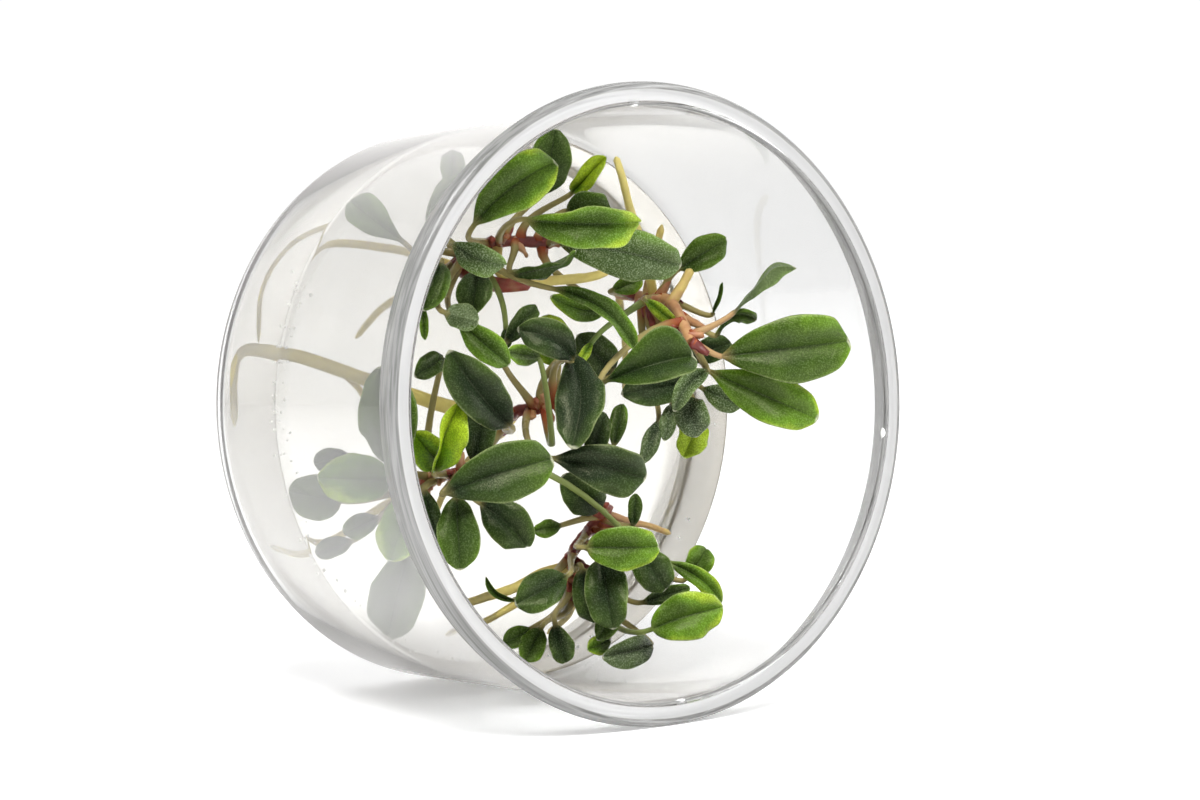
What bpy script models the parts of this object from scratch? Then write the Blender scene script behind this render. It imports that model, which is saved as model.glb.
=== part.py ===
"""Bucephalandra in a clear culture cup that lies on its side.

Five small plants grow out of a disc of gel in the base of the cup. Every piece is modelled in the cup's
own frame in millimetres: u to the right and v up, as one looks into the mouth, and w along the axis from
the outside of the base towards the mouth. One empty tips that frame over, so that the cup rests on the
edge of its rim and on the round of its foot, with its mouth facing -Y.
"""

import math
from dataclasses import dataclass

import bmesh
import bpy
import numpy as np

MM = 0.001

# Cup: radii and heights above the outside of its base
RIM_RADIUS = 50.0
CUP_HEIGHT = 60.5
RIM_FRONT_RADIUS = 49.6
RIM_BEVEL = 0.3
RIM_EDGE_HEIGHT = 59.9
MOUTH_RADIUS = 46.2
FLANGE_INNER_EDGE = 46.9
FLANGE_THICKNESS = 1.2
SKIRT_HEIGHT = 5.0
SKIRT_RADIUS = 48.9
SKIRT_THICKNESS = 0.8
WALL_THICKNESS = 0.7
WALL_TOP_RADIUS = 46.9
FOOT_RADIUS = 45.8
FOOT_HEIGHT = 4.0
FOOT_ROUND_INSET = 0.6
FOOT_ROUND_HEIGHT = 1.6
BASE_RADIUS = 43.4
BASE_THICKNESS = 1.0
FLOOR_EDGE_HEIGHT = 4.4
FLOOR_ROUND_INSET = 1.0
FLOOR_ROUND_HEIGHT = 1.9
CUP_SIDES = 40

# Gel: a disc that fills the base, set a hair's breadth inside the plastic
GEL_SURFACE = 20.3
GEL_GAP = 0.4
GEL_ROUND_INSET = 1.4
GEL_ROUND_HEIGHT = 2.3
GEL_FLOOR_INSET = 1.2

# Plants
RHIZOME_RADIUS = 1.0
RHIZOME_SIDES = 8
ROOT_SIDES = 5
ROOT_TAPER = 0.7
CHANNEL_GAP = 0.4
CHANNEL_TAPER = 0.9
CHANNEL_OVERRUN = 0.6
LEAF_FOOT_GAP = 0.4
STALK_FOOT_RADIUS = 0.55
STALK_NECK_RADIUS = 0.42
BLADE_THICKNESS = 0.7
LIGHT = np.array([-0.6, 0.0, 0.8])
TIP_BLUNTNESS = 0.55
TIP_THINNING = 0.5
STALK_STEPS = 3
FOOT_REACH = 0.35
NECK_REACH = 0.2
TANGENT_STEP = 0.02
BLADE_STATIONS = (0.07, 0.22, 0.42, 0.62, 0.80, 0.93)

RHIZOME_RED = (0.30, 0.10, 0.05)
GEL_COLOUR = (0.93, 0.90, 0.82)
CUP_COLOUR = (0.93, 0.94, 0.95)


@dataclass
class Leaf:
    """A leaf: where it leaves its rhizome (0 at the gel, 1 at the tip), its neck and tip, and its blade.

    roll turns the blade about its midrib from facing the light, arch lifts the middle of the midrib,
    sweep bends it sideways and fold raises both halves of the blade. Lengths are millimetres and
    angles degrees. via, where it is given, draws the stalk's lower half towards a point.
    """

    name: str
    at: float
    neck: tuple
    tip: tuple
    width: float
    roll: float = 0.0
    arch: float = 1.0
    fold: float = 8.0
    widest: float = 0.55
    sweep: float = 0.0
    young: bool = False
    via: tuple = None


@dataclass
class Plant:
    """A plant: its leaves' colour, the points of its rhizome, its roots as (radius, points), its leaves."""

    name: str
    colour: tuple
    rhizome: tuple
    roots: tuple
    leaves: tuple


TOP = Plant(
    "top",
    colour=(0.045, 0.13, 0.02),
    rhizome=((-11, 22.5, 21.3), (-11.5, 25, 26), (-8, 26.5, 31), (-1, 26, 34)),
    roots=(
        (0.6, ((-8.5, 26, 30), (-9, 22, 31), (-5, 20, 32), (2, 20, 33.5), (8, 20.5, 34.5),
               (12.5, 22.5, 35))),
        (0.45, ((-11, 22.5, 22), (-15, 20, 17), (-20, 17, 12), (-24, 12, 8))),
        (0.45, ((-11, 23, 22), (-20, 26, 17), (-32, 27, 11), (-39, 21, 9.5), (-42.5, 12, 13))),
        (0.9, ((-11, 23, 23), (-11, 20.5, 28.5), (-8.5, 19.5, 31.5), (-4.5, 19.5, 33.5))),
    ),
    leaves=(
        Leaf("leaf_1", at=0.56, neck=(-23.5, 29, 46), tip=(-12, 38, 52), width=8.5, arch=1.5, fold=10,
             widest=0.6, sweep=-1.0),
        Leaf("leaf_2", at=0.7, neck=(-3.5, 34, 36), tip=(-3, 44, 40), width=7, roll=15, widest=0.5),
        Leaf("leaf_3", at=0.65, neck=(-13.5, 29.5, 46), tip=(4, 28.5, 52), width=8.5, roll=30, fold=28),
        Leaf("leaf_4", at=1.0, neck=(-2.5, 26, 39), tip=(16.5, 21.5, 46), width=8.5, roll=10, arch=2,
             sweep=-0.6),
        Leaf("leaf_5", at=0.92, neck=(1.5, 31, 36), tip=(7.5, 30.5, 40), width=7, widest=0.5),
        Leaf("leaf_6", at=0.80, neck=(3.5, 34, 35), tip=(7.5, 39.5, 39), width=4, arch=0.5, fold=62,
             widest=0.45, young=True),
        Leaf("leaf_7", at=0.42, neck=(-27.5, 26, 46), tip=(-21, 22.5, 50), width=5, roll=20, arch=2,
             fold=12),
        Leaf("leaf_8", at=0.76, neck=(-10.5, 21.5, 37), tip=(-1.5, 24.5, 42), width=5.5, roll=65),
        Leaf("leaf_9", at=0.33, neck=(-26.5, 29, 38), tip=(-22, 36.5, 40), width=4, young=True),
        Leaf("leaf_10", at=0.22, neck=(-27, 23, 41), tip=(-32, 16, 43), width=5.5, widest=0.5),
        Leaf("leaf_11", at=0.51, neck=(-18.5, 21.5, 39), tip=(-21, 15, 41), width=6, roll=10, fold=12),
        Leaf("leaf_12", at=0.02, neck=(-25.5, 27, 29), tip=(-30, 33.5, 21.5), width=6, arch=1.5,
             widest=0.66),
        Leaf("leaf_13", at=0.27, neck=(-18.5, 32.5, 32), tip=(-16, 41, 30), width=4.5, roll=20,
             young=True),
        Leaf("leaf_14", at=0.44, neck=(-4.5, 18.5, 40), tip=(6.5, 8, 46), width=4, roll=-15, fold=25,
             sweep=-2, via=(-13.5, 21, 37)),
        Leaf("leaf_15", at=0.95, neck=(9.5, 15, 34), tip=(-0.5, 17.5, 33), width=4, widest=0.5, sweep=-1),
        Leaf("leaf_16", at=0.34, neck=(-28.5, 15.5, 44.5), tip=(-24, 14, 46.5), width=4.5, roll=180,
             young=True),
        Leaf("leaf_17", at=0.27, neck=(-25, 14, 43), tip=(-19, 7, 47), width=5, fold=10),
        Leaf("leaf_19", at=0.37, neck=(-13, 12.5, 38), tip=(-13, 9.5, 38), width=2, arch=0.2, young=True,
             via=(-9, 19.5, 32)),
        Leaf("leaf_18", at=0.1, neck=(-30.5, 16.5, 41), tip=(-31, 11.5, 42), width=1.5, arch=0.5,
             young=True),
    ),
)

RIGHT = Plant(
    "right",
    colour=(0.06, 0.16, 0.025),
    rhizome=((22, 17.5, 21.3), (22, 16.5, 29), (21, 15.5, 37), (18.5, 9, 45)),
    roots=(
        (0.5, ((22, 17, 31), (18.5, 24, 34), (14.5, 30, 36), (12.5, 36, 36.5), (11, 39.5, 37))),
        (0.5, ((22, 16.5, 29), (23, 22, 30), (24.5, 28.5, 31))),
        (0.6, ((21, 15.5, 37), (22.5, 18, 38), (24, 21, 39))),
        (0.45, ((22, 17.5, 22), (25, 14, 17), (28, 8, 12), (30, 0, 7))),
    ),
    leaves=(
        Leaf("leaf_1", at=1.0, neck=(22.5, 6.5, 48), tip=(41, 8, 58), width=11.5, arch=1.5, widest=0.6),
        Leaf("leaf_2", at=0.90, neck=(23, 4, 44), tip=(37, -4.5, 54), width=8.5, widest=0.62),
        Leaf("leaf_3", at=0.95, neck=(26, 13.5, 47), tip=(34, 21, 52), width=5.5, roll=-15, arch=0.5,
             fold=70),
        Leaf("leaf_4", at=0.80, neck=(25.5, 10, 43), tip=(31.5, 12, 46), width=3, roll=30, arch=0.5,
             widest=0.75, sweep=-2.5, young=True),
        Leaf("leaf_5", at=0.60, neck=(26.5, 13.5, 41), tip=(28, 18.5, 42), width=2, arch=0.3, fold=60,
             young=True),
        Leaf("leaf_6", at=0.56, neck=(24.5, 6.5, 37), tip=(30, 8.5, 41), width=4.5, widest=0.5),
        Leaf("leaf_7", at=0.50, neck=(23, 21, 37), tip=(30, 25.5, 41), width=5.5, fold=6),
        Leaf("leaf_8", at=0.55, neck=(16, 16, 37), tip=(19.5, 12, 40), width=2.5, arch=0.5, young=True),
        Leaf("leaf_9", at=0.20, neck=(14.5, 18, 30), tip=(19, 19.5, 32), width=3.5, arch=0.5, young=True),
        Leaf("leaf_10", at=0.85, neck=(0, 3.5, 46), tip=(11, 7, 55), width=11, roll=-14, arch=2, fold=28,
             widest=0.72),
        Leaf("leaf_11", at=0.66, neck=(23, 2.5, 38.5), tip=(11, 1, 35.5), width=6, fold=10),
        Leaf("leaf_12", at=0.97, neck=(21.5, 4, 45), tip=(13.5, -2, 46), width=4, fold=30, sweep=1),
        Leaf("leaf_13", at=0.84, neck=(20.5, -0.5, 41), tip=(19.5, -6.5, 44), width=6, arch=1.5, fold=10),
        Leaf("leaf_18", at=0.38, neck=(3.5, 9.5, 38), tip=(0.5, 6, 38), width=1.8, arch=0.2, young=True,
             via=(12, 14.5, 38)),
        Leaf("leaf_14", at=0.4, neck=(25.5, -4.5, 37), tip=(20.5, -10, 39), width=5.5, arch=0.5,
             widest=0.45),
        Leaf("leaf_15", at=0.46, neck=(27, 1, 37), tip=(31.5, -2, 41), width=4.5, widest=0.6),
        Leaf("leaf_16", at=0.35, neck=(21, -1.5, 36), tip=(17.5, -7, 38), width=3, young=True),
        Leaf("leaf_17", at=0.3, neck=(18, -4, 36), tip=(13.5, -10.5, 37), width=3, young=True),
    ),
)

MIDDLE = Plant(
    "middle",
    colour=(0.02, 0.055, 0.025),
    rhizome=((-3.5, -4.5, 21.3), (-3, -1, 26), (-0.5, -0.5, 30), (1, 1.5, 34)),
    roots=(
        (0.6, ((-3, -2, 24), (-10, -1, 25.5), (-17, 1, 24), (-28, 6, 17), (-38, 10, 11), (-43, 9.5, 7),
               (-43.5, -1, 6.5))),
        (0.4, ((-31, 7.5, 15), (-28, 5.5, 14), (-25, 3, 12), (-21, -3, 8))),
        (0.45, ((-3.5, -4.5, 22), (-6, -8, 16), (-10, -14, 11), (-12, -22, 7))),
    ),
    leaves=(
        Leaf("leaf_1", at=0.82, neck=(-7, 7.5, 47), tip=(-16.5, 12.5, 46), width=6, arch=2.5, widest=0.6,
             sweep=1.3, via=(-5.5, 11, 39)),
        Leaf("leaf_2", at=0.94, neck=(-0.5, 6.5, 34.5), tip=(-2.5, 14.5, 34.5), width=7, widest=0.5),
        Leaf("leaf_3", at=0.55, neck=(-14.5, 10.5, 40), tip=(-9, 16, 41), width=3.5, fold=15, young=True),
        Leaf("leaf_4", at=0.66, neck=(-2.5, 8, 40.5), tip=(-10, -6.5, 50), width=8, arch=1.5,
             widest=0.6,
             sweep=-1.6),
        Leaf("leaf_5", at=1.0, neck=(10.5, 5, 34), tip=(4.5, 11, 33), width=6.5, widest=0.5),
        Leaf("leaf_6", at=0.90, neck=(8, -7, 37), tip=(10, -0.5, 37), width=3, young=True),
        Leaf("leaf_7", at=0.84, neck=(1, -9, 40), tip=(3.5, -1.5, 41), width=4, widest=0.5),
        Leaf("leaf_8", at=0.5, neck=(-9.5, -8, 44), tip=(3.5, -12, 51), width=8.5, fold=10, widest=0.66,
             sweep=-0.5),
        Leaf("leaf_9", at=0.30, neck=(-19.5, -2, 47), tip=(-31.5, 10, 49), width=8, arch=2, fold=15,
             sweep=-0.5),
        Leaf("leaf_10", at=0.15, neck=(-19.5, -8, 37), tip=(-17, 2, 38), width=5.5, fold=12),
        Leaf("leaf_11", at=0.68, neck=(-10, 8, 42), tip=(-17.5, 9, 44), width=3.5, arch=0.5,
             young=True, via=(-4.5, -17, 38.5)),
    ),
)

LEFT = Plant(
    "left",
    colour=(0.05, 0.12, 0.03),
    rhizome=((-22.5, -13, 21.3), (-24.5, -11, 29), (-24, -10, 34), (-22, -9.5, 37)),
    roots=(
        (0.45, ((-22.5, -13, 22), (-26, -16, 16), (-32, -20, 11), (-38, -20, 7))),
    ),
    leaves=(
        Leaf("leaf_1", at=1.0, neck=(-30.5, -12, 45), tip=(-16.5, -7.5, 54), width=9.5, arch=1.5,
             widest=0.6,
             sweep=-0.5),
        Leaf("leaf_2", at=0.80, neck=(-30.5, -8.5, 42), tip=(-28.5, 2, 47), width=8, roll=30, fold=45,
             sweep=-1),
        Leaf("leaf_3", at=0.66, neck=(-26.5, -8, 38), tip=(-32, -2.5, 39), width=6, widest=0.5),
        Leaf("leaf_4", at=0.56, neck=(-33.5, -7.5, 36), tip=(-37.5, 8, 40), width=9, arch=1.5),
        Leaf("leaf_5", at=0.50, neck=(-25.5, 8.5, 38), tip=(-32, 6, 40), width=4, young=True),
        Leaf("leaf_6", at=0.90, neck=(-26.5, -13, 42), tip=(-28.5, -24, 45), width=7, fold=10),
        Leaf("leaf_7", at=0.95, neck=(-20.5, -14.5, 40), tip=(-15, -21.5, 44), width=7, arch=1.5,
             fold=10, sweep=-0.6),
        Leaf("leaf_8", at=0.70, neck=(-29, -12, 37), tip=(-27.5, -20.5, 38), width=3.5, young=True),
        Leaf("leaf_9", at=0.30, neck=(-31, -10, 31), tip=(-42, -9, 27), width=8, widest=0.5),
        Leaf("leaf_10", at=0.12, neck=(-37, -13, 26), tip=(-43.5, -11, 21), width=7.5, arch=0.5,
             widest=0.45),
        Leaf("leaf_11", at=0.60, neck=(-29.5, -13, 34), tip=(-33, -22.5, 33), width=7.5, widest=0.5),
        Leaf("leaf_12", at=0.45, neck=(-29.5, -21, 33), tip=(-28, -35, 23.5), width=9, widest=0.5),
        Leaf("leaf_13", at=0.20, neck=(-32.5, -16, 29), tip=(-37, -18, 26), width=4, arch=0.5,
             young=True),
        Leaf("leaf_15", at=0.2, neck=(-36, -6, 27), tip=(-40.5, -7, 24), width=4, arch=0.5, young=True),
        Leaf("leaf_16", at=0.08, neck=(-35, -19.5, 25), tip=(-39.5, -21, 21.5), width=3.5, arch=0.3,
             young=True),
        Leaf("leaf_14", at=0.98, neck=(8.5, -23.5, 41), tip=(12, -30.5, 44), width=6.5, via=(-17, -3.5,
             48.5)),
    ),
)

BOTTOM = Plant(
    "bottom",
    colour=(0.055, 0.14, 0.02),
    rhizome=((10.5, -33.5, 21.3), (5.5, -26, 27), (6.5, -21, 31), (7.5, -17.5, 35)),
    roots=(
        (0.6, ((6, -27, 26), (1, -27.8, 25), (-3, -30, 22.5), (-7, -31.5, 18), (-12, -33, 14))),
        (0.45, ((7, -29, 25), (1, -31, 23), (-6, -35, 19), (-12, -37, 14))),
        (0.4, ((7.5, -18, 34), (13, -20, 34), (17, -21, 34), (21, -22.5, 34))),
        (0.4, ((10, -33, 22), (11, -36, 17), (9, -39, 12))),
    ),
    leaves=(
        Leaf("leaf_1", at=0.68, neck=(-3.5, -22.5, 44), tip=(7, -23, 49), width=7.5, widest=0.5),
        Leaf("leaf_2", at=0.82, neck=(19.5, -29.5, 40), tip=(23, -25, 41), width=5, fold=12, widest=0.6),
        Leaf("leaf_3", at=0.75, neck=(14, -26.5, 43), tip=(21.5, -33.5, 46), width=3.5, fold=15,
             sweep=-1.0),
        Leaf("leaf_4", at=0.05, neck=(8, -36.5, 45), tip=(18, -33.5, 51), width=8, widest=0.5,
             sweep=-0.4),
        Leaf("leaf_5", at=0.44, neck=(-6.5, -27, 42), tip=(-16.5, -30.5, 42), width=6.5, widest=0.6),
        Leaf("leaf_6", at=0.38, neck=(-14.5, -30, 39), tip=(-19, -26, 38), width=2, arch=0.5, fold=50,
             sweep=-1, young=True),
        Leaf("leaf_7", at=0.32, neck=(0.5, -26.5, 37), tip=(3, -35.5, 36.5), width=5.5, widest=0.5),
        Leaf("leaf_8", at=0.56, neck=(1.5, -25, 41), tip=(1, -36, 44), width=7.5, fold=10, widest=0.5),
        Leaf("leaf_9", at=0.35, neck=(6.5, -32.5, 38.5), tip=(1, -38, 39.5), width=4, young=True),
        Leaf("leaf_10", at=0.12, neck=(12.5, -40, 38.5), tip=(1, -40.5, 40.5), width=5.5, arch=1,
             fold=15),
        Leaf("leaf_11", at=0.20, neck=(5, -38.5, 37), tip=(0, -39.5, 38), width=3.5, arch=0.5,
             young=True),
        Leaf("leaf_12", at=0.15, neck=(-9, -35.5, 35), tip=(-13.5, -37.5, 34), width=3.5, arch=0.5,
             young=True),
        Leaf("leaf_13", at=0.08, neck=(-7.5, -35.5, 36), tip=(-11, -40.5, 36), width=4.5, arch=0.5,
             young=True),
        Leaf("leaf_14", at=0.18, neck=(-6, -35, 38), tip=(-5, -41, 39), width=4.5, arch=0.5, fold=20,
             young=True),
        Leaf("leaf_15", at=0.28, neck=(12.5, -33, 37), tip=(20, -31, 40), width=3, arch=0.5, young=True),
        Leaf("leaf_16", at=0.90, neck=(10.5, -20, 38), tip=(10.5, -15, 39), width=2.5, arch=0.5,
             young=True),
        Leaf("leaf_17", at=0.9, neck=(-1.5, -19.5, 34), tip=(-6, -20, 33), width=3, arch=0.5, young=True),
        Leaf("leaf_18", at=1.0, neck=(3.5, -17, 38), tip=(-4, -11, 39), width=6.5, widest=0.5),
    ),
)


def clear_scene():
    for old in list(bpy.data.objects):
        bpy.data.objects.remove(old)


def material(name, colour, roughness, transmission=0.0, ior=1.45):
    made = bpy.data.materials.new(name)
    made.use_nodes = True
    surface = made.node_tree.nodes["Principled BSDF"]
    surface.inputs["Base Color"].default_value = (*colour, 1.0)
    surface.inputs["Roughness"].default_value = roughness
    surface.inputs["Metallic"].default_value = 0.0
    surface.inputs["Transmission Weight"].default_value = transmission
    surface.inputs["IOR"].default_value = ior
    return made


def unit(vector):
    return vector / np.linalg.norm(vector)


def smooth_path(points, steps):
    """Evenly numbered points on a Catmull-Rom curve through the given points."""
    known = [np.array(point, dtype=float) for point in points]
    known = [2 * known[0] - known[1]] + known + [2 * known[-1] - known[-2]]
    path = []
    for before, start, end, after in zip(known, known[1:], known[2:], known[3:]):
        for step in range(steps):
            t = step / steps
            path.append(0.5 * (2 * start + (end - before) * t
                               + (2 * before - 5 * start + 4 * end - after) * t ** 2
                               + (3 * start - before - 3 * end + after) * t ** 3))
    path.append(known[-2])
    return np.array(path)


def point_along(path, share):
    """The point of a path at a share of its point count, and the path's direction there."""
    place = share * (len(path) - 1)
    index = min(int(place), len(path) - 2)
    step = path[index + 1] - path[index]
    return path[index] + step * (place - index), unit(step)


def mesh_object(name, points, faces, surface, parent):
    mesh = bpy.data.meshes.new(name)
    mesh.from_pydata([tuple(MM * value for value in point) for point in points], [], faces)
    shape = bmesh.new()
    shape.from_mesh(mesh)
    bmesh.ops.recalc_face_normals(shape, faces=shape.faces)
    shape.to_mesh(mesh)
    shape.free()
    mesh.materials.append(surface)
    made = bpy.data.objects.new(name, mesh)
    made.parent = parent
    bpy.context.collection.objects.link(made)
    return made


def skin(rings, tip=None):
    """Faces around a row of closed rings, capped at the start and closed by a last ring or a tip point."""
    count = len(rings[0])
    points = [point for ring in rings for point in ring]
    faces = [tuple(range(count))]
    for row in range(len(rings) - 1):
        for corner in range(count):
            nearby = (corner + 1) % count
            faces.append((row * count + corner, row * count + nearby,
                          (row + 1) * count + nearby, (row + 1) * count + corner))
    last = (len(rings) - 1) * count
    if tip is None:
        faces.append(tuple(last + corner for corner in range(count)))
    else:
        points.append(tip)
        for corner in range(count):
            faces.append((last + corner, last + (corner + 1) % count, len(points) - 1))
    return points, faces


def tube(path, radius, sides, taper=1.0):
    """A capped tube along a path, which narrows evenly to taper times its radius."""
    side = unit(np.cross(path[1] - path[0], LIGHT))
    rings = []
    for index, point in enumerate(path):
        ahead = path[min(index + 1, len(path) - 1)] - path[max(index - 1, 0)]
        along = unit(ahead)
        side = unit(side - (side @ along) * along)
        up = np.cross(along, side)
        size = radius * (1 + (taper - 1) * index / (len(path) - 1))
        turns = [2 * math.pi * corner / sides for corner in range(sides)]
        rings.append([point + size * (math.cos(turn) * side + math.sin(turn) * up) for turn in turns])
    return skin(rings)


def bezier(start, first, second, end, t):
    return ((1 - t) ** 3 * start + 3 * (1 - t) ** 2 * t * first
            + 3 * (1 - t) * t ** 2 * second + t ** 3 * end)


def leaf_solid(leaf, rhizome, foot_offset):
    """A leaf as one closed skin of four-cornered rings: its stalk, then its folded blade."""
    neck = np.array(leaf.neck, dtype=float)
    tip = np.array(leaf.tip, dtype=float)
    along = unit(tip - neck)
    facing = unit(LIGHT - (LIGHT @ along) * along)
    roll = math.radians(leaf.roll)
    normal = math.cos(roll) * facing + math.sin(roll) * np.cross(along, facing)
    side = np.cross(along, normal)
    middle = (neck + tip) / 2 + 2 * leaf.arch * normal + 2 * leaf.sweep * side

    axis_point, axis = point_along(rhizome, leaf.at)
    outward = np.array(leaf.neck if leaf.via is None else leaf.via, dtype=float) - axis_point
    if leaf.at < 1.0:
        outward = outward - (outward @ axis) * axis
    outward = unit(outward)
    foot = axis_point + foot_offset * outward
    span = np.linalg.norm(neck - foot)
    start_direction = unit(middle - neck)
    lower = foot + FOOT_REACH * span * outward if leaf.via is None else np.array(leaf.via, dtype=float)
    handles = (foot, lower, neck - NECK_REACH * span * start_direction, neck)

    # The stalk's rings are turned from the blade down, so that its corners meet those of the blade.
    rings = []
    across = side
    for step in range(STALK_STEPS, -1, -1):
        t = step / STALK_STEPS
        centre = bezier(*handles, t)
        before = bezier(*handles, max(t - TANGENT_STEP, 0.0))
        ahead = unit(bezier(*handles, min(t + TANGENT_STEP, 1.0)) - before)
        across = unit(across - (across @ ahead) * ahead)
        up = np.cross(across, ahead)
        size = STALK_FOOT_RADIUS + (STALK_NECK_RADIUS - STALK_FOOT_RADIUS) * t
        rings.insert(0, [centre + size * across, centre + size * up, centre - size * across,
                         centre - size * up])

    base_power = TIP_BLUNTNESS * leaf.widest / (1 - leaf.widest)
    peak = leaf.widest ** base_power * (1 - leaf.widest) ** TIP_BLUNTNESS
    fold = math.radians(leaf.fold)
    for t in BLADE_STATIONS:
        centre = (1 - t) ** 2 * neck + 2 * t * (1 - t) * middle + t ** 2 * tip
        ahead = unit((1 - t) * (middle - neck) + t * (tip - middle))
        across = unit(np.cross(ahead, normal))
        up = np.cross(across, ahead)
        half = leaf.width / 2 * t ** base_power * (1 - t) ** TIP_BLUNTNESS / peak
        thick = BLADE_THICKNESS / 2 * (1 - TIP_THINNING * t)
        rings.append([centre + half * (math.cos(fold) * across + math.sin(fold) * up),
                      centre + thick * up,
                      centre + half * (-math.cos(fold) * across + math.sin(fold) * up),
                      centre - thick * up])
    return skin(rings, tip)


def join(base, others):
    """Unite the base object with others by Boolean modifiers, and apply them."""
    for other in others:
        union = base.modifiers.new(other.name, "BOOLEAN")
        union.operation = "UNION"
        union.solver = "EXACT"
        union.object = other
        apply_modifiers(base)
        bpy.data.objects.remove(other)


def apply_modifiers(thing):
    bpy.context.view_layer.update()
    shape = thing.evaluated_get(bpy.context.evaluated_depsgraph_get())
    mesh = bpy.data.meshes.new_from_object(shape)
    thing.modifiers.clear()
    thing.data = mesh


def build_rhizome(plant, surface, frame):
    """The rhizome with its roots and smallest leaves, which grew as one piece."""
    path = smooth_path(plant.rhizome, 3)
    base = mesh_object(f"{plant.name}_rhizome", *tube(path, RHIZOME_RADIUS, RHIZOME_SIDES), surface, frame)
    grown = []
    for number, (radius, points) in enumerate(plant.roots, start=1):
        root = tube(smooth_path(points, 2), radius, ROOT_SIDES, ROOT_TAPER)
        grown.append(mesh_object(f"{plant.name}_root_{number}", *root, surface, frame))
    for leaf in plant.leaves:
        if leaf.young:
            points, faces = leaf_solid(leaf, path, 0.0)
            grown.append(mesh_object(f"{plant.name}_{leaf.name}", points, faces, surface, frame))
    join(base, grown)
    return base


def build_leaves(plant, surface, frame):
    path = smooth_path(plant.rhizome, 3)
    for leaf in plant.leaves:
        if not leaf.young:
            points, faces = leaf_solid(leaf, path, RHIZOME_RADIUS + LEAF_FOOT_GAP)
            mesh_object(f"{plant.name}_{leaf.name}", points, faces, surface, frame)


def turned(name, profile, surface, frame):
    """A solid of revolution about the cup's axis, with a flat side facing each of u and v.

    profile runs from a point on the axis to another point on the axis. Each radius is the distance of
    the flat sides from the axis.
    """
    corner_factor = 1 / math.cos(math.pi / CUP_SIDES)
    turns = [2 * math.pi * (side + 0.5) / CUP_SIDES for side in range(CUP_SIDES)]
    points = [(0, 0, profile[0][1]), (0, 0, profile[-1][1])]
    rings = []
    for radius, height in profile[1:-1]:
        size = radius * corner_factor
        rings.append([len(points) + side for side in range(CUP_SIDES)])
        points.extend((size * math.cos(turn), size * math.sin(turn), height) for turn in turns)
    faces = []
    for side in range(CUP_SIDES):
        beside = (side + 1) % CUP_SIDES
        faces.append((0, rings[0][side], rings[0][beside]))
        faces.append((1, rings[-1][side], rings[-1][beside]))
        for lower, upper in zip(rings, rings[1:]):
            faces.append((lower[side], lower[beside], upper[beside], upper[side]))
    return mesh_object(name, points, faces, surface, frame)


def wall_radius(height):
    """The outer radius of the wall, which widens evenly from the foot to the flange."""
    share = (height - FOOT_HEIGHT) / (CUP_HEIGHT - FOOT_HEIGHT)
    return FOOT_RADIUS + share * (WALL_TOP_RADIUS - FOOT_RADIUS)


def build_cup(surface, frame):
    flange_back = CUP_HEIGHT - FLANGE_THICKNESS
    skirt_back = CUP_HEIGHT - SKIRT_HEIGHT
    inner_foot = FOOT_RADIUS - WALL_THICKNESS
    profile = (
        (0, 0),
        (BASE_RADIUS, 0),
        (FOOT_RADIUS - FOOT_ROUND_INSET, FOOT_ROUND_HEIGHT),
        (FOOT_RADIUS, FOOT_HEIGHT),
        (wall_radius(flange_back), flange_back),
        (SKIRT_RADIUS - SKIRT_THICKNESS, flange_back),
        (SKIRT_RADIUS - SKIRT_THICKNESS, skirt_back),
        (SKIRT_RADIUS, skirt_back),
        (RIM_RADIUS, CUP_HEIGHT - RIM_BEVEL),
        (RIM_FRONT_RADIUS, CUP_HEIGHT),
        (FLANGE_INNER_EDGE, CUP_HEIGHT),
        (MOUTH_RADIUS, RIM_EDGE_HEIGHT),
        (inner_foot, FLOOR_EDGE_HEIGHT),
        (inner_foot - FLOOR_ROUND_INSET, FLOOR_ROUND_HEIGHT),
        (BASE_RADIUS - FLOOR_ROUND_INSET, BASE_THICKNESS),
        (0, BASE_THICKNESS),
    )
    return turned("cup", profile, surface, frame)


def build_gel(surface, frame):
    """The gel, with an open channel for each root that runs down into it."""
    inner_foot = FOOT_RADIUS - WALL_THICKNESS
    profile = (
        (0, BASE_THICKNESS + GEL_GAP),
        (BASE_RADIUS - GEL_FLOOR_INSET, BASE_THICKNESS + GEL_GAP),
        (inner_foot - GEL_ROUND_INSET, GEL_ROUND_HEIGHT),
        (inner_foot - GEL_GAP, FLOOR_EDGE_HEIGHT + GEL_GAP),
        (wall_radius(GEL_SURFACE) - WALL_THICKNESS - GEL_GAP, GEL_SURFACE),
        (0, GEL_SURFACE),
    )
    gel = turned("gel", profile, surface, frame)
    for plant in (TOP, RIGHT, MIDDLE, LEFT, BOTTOM):
        for number, (radius, points) in enumerate(plant.roots, start=1):
            if min(point[2] for point in points) < GEL_SURFACE:
                path = smooth_path(points, 2)
                path = np.vstack([path, path[-1] + CHANNEL_OVERRUN * unit(path[-1] - path[-2])])
                points, faces = tube(path, radius + CHANNEL_GAP, ROOT_SIDES, CHANNEL_TAPER)
                channel = mesh_object(f"channel_{plant.name}_{number}", points, faces, surface, frame)
                cut = gel.modifiers.new(channel.name, "BOOLEAN")
                cut.operation = "DIFFERENCE"
                cut.solver = "EXACT"
                cut.object = channel
                apply_modifiers(gel)
                bpy.data.objects.remove(channel)
    return gel


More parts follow.
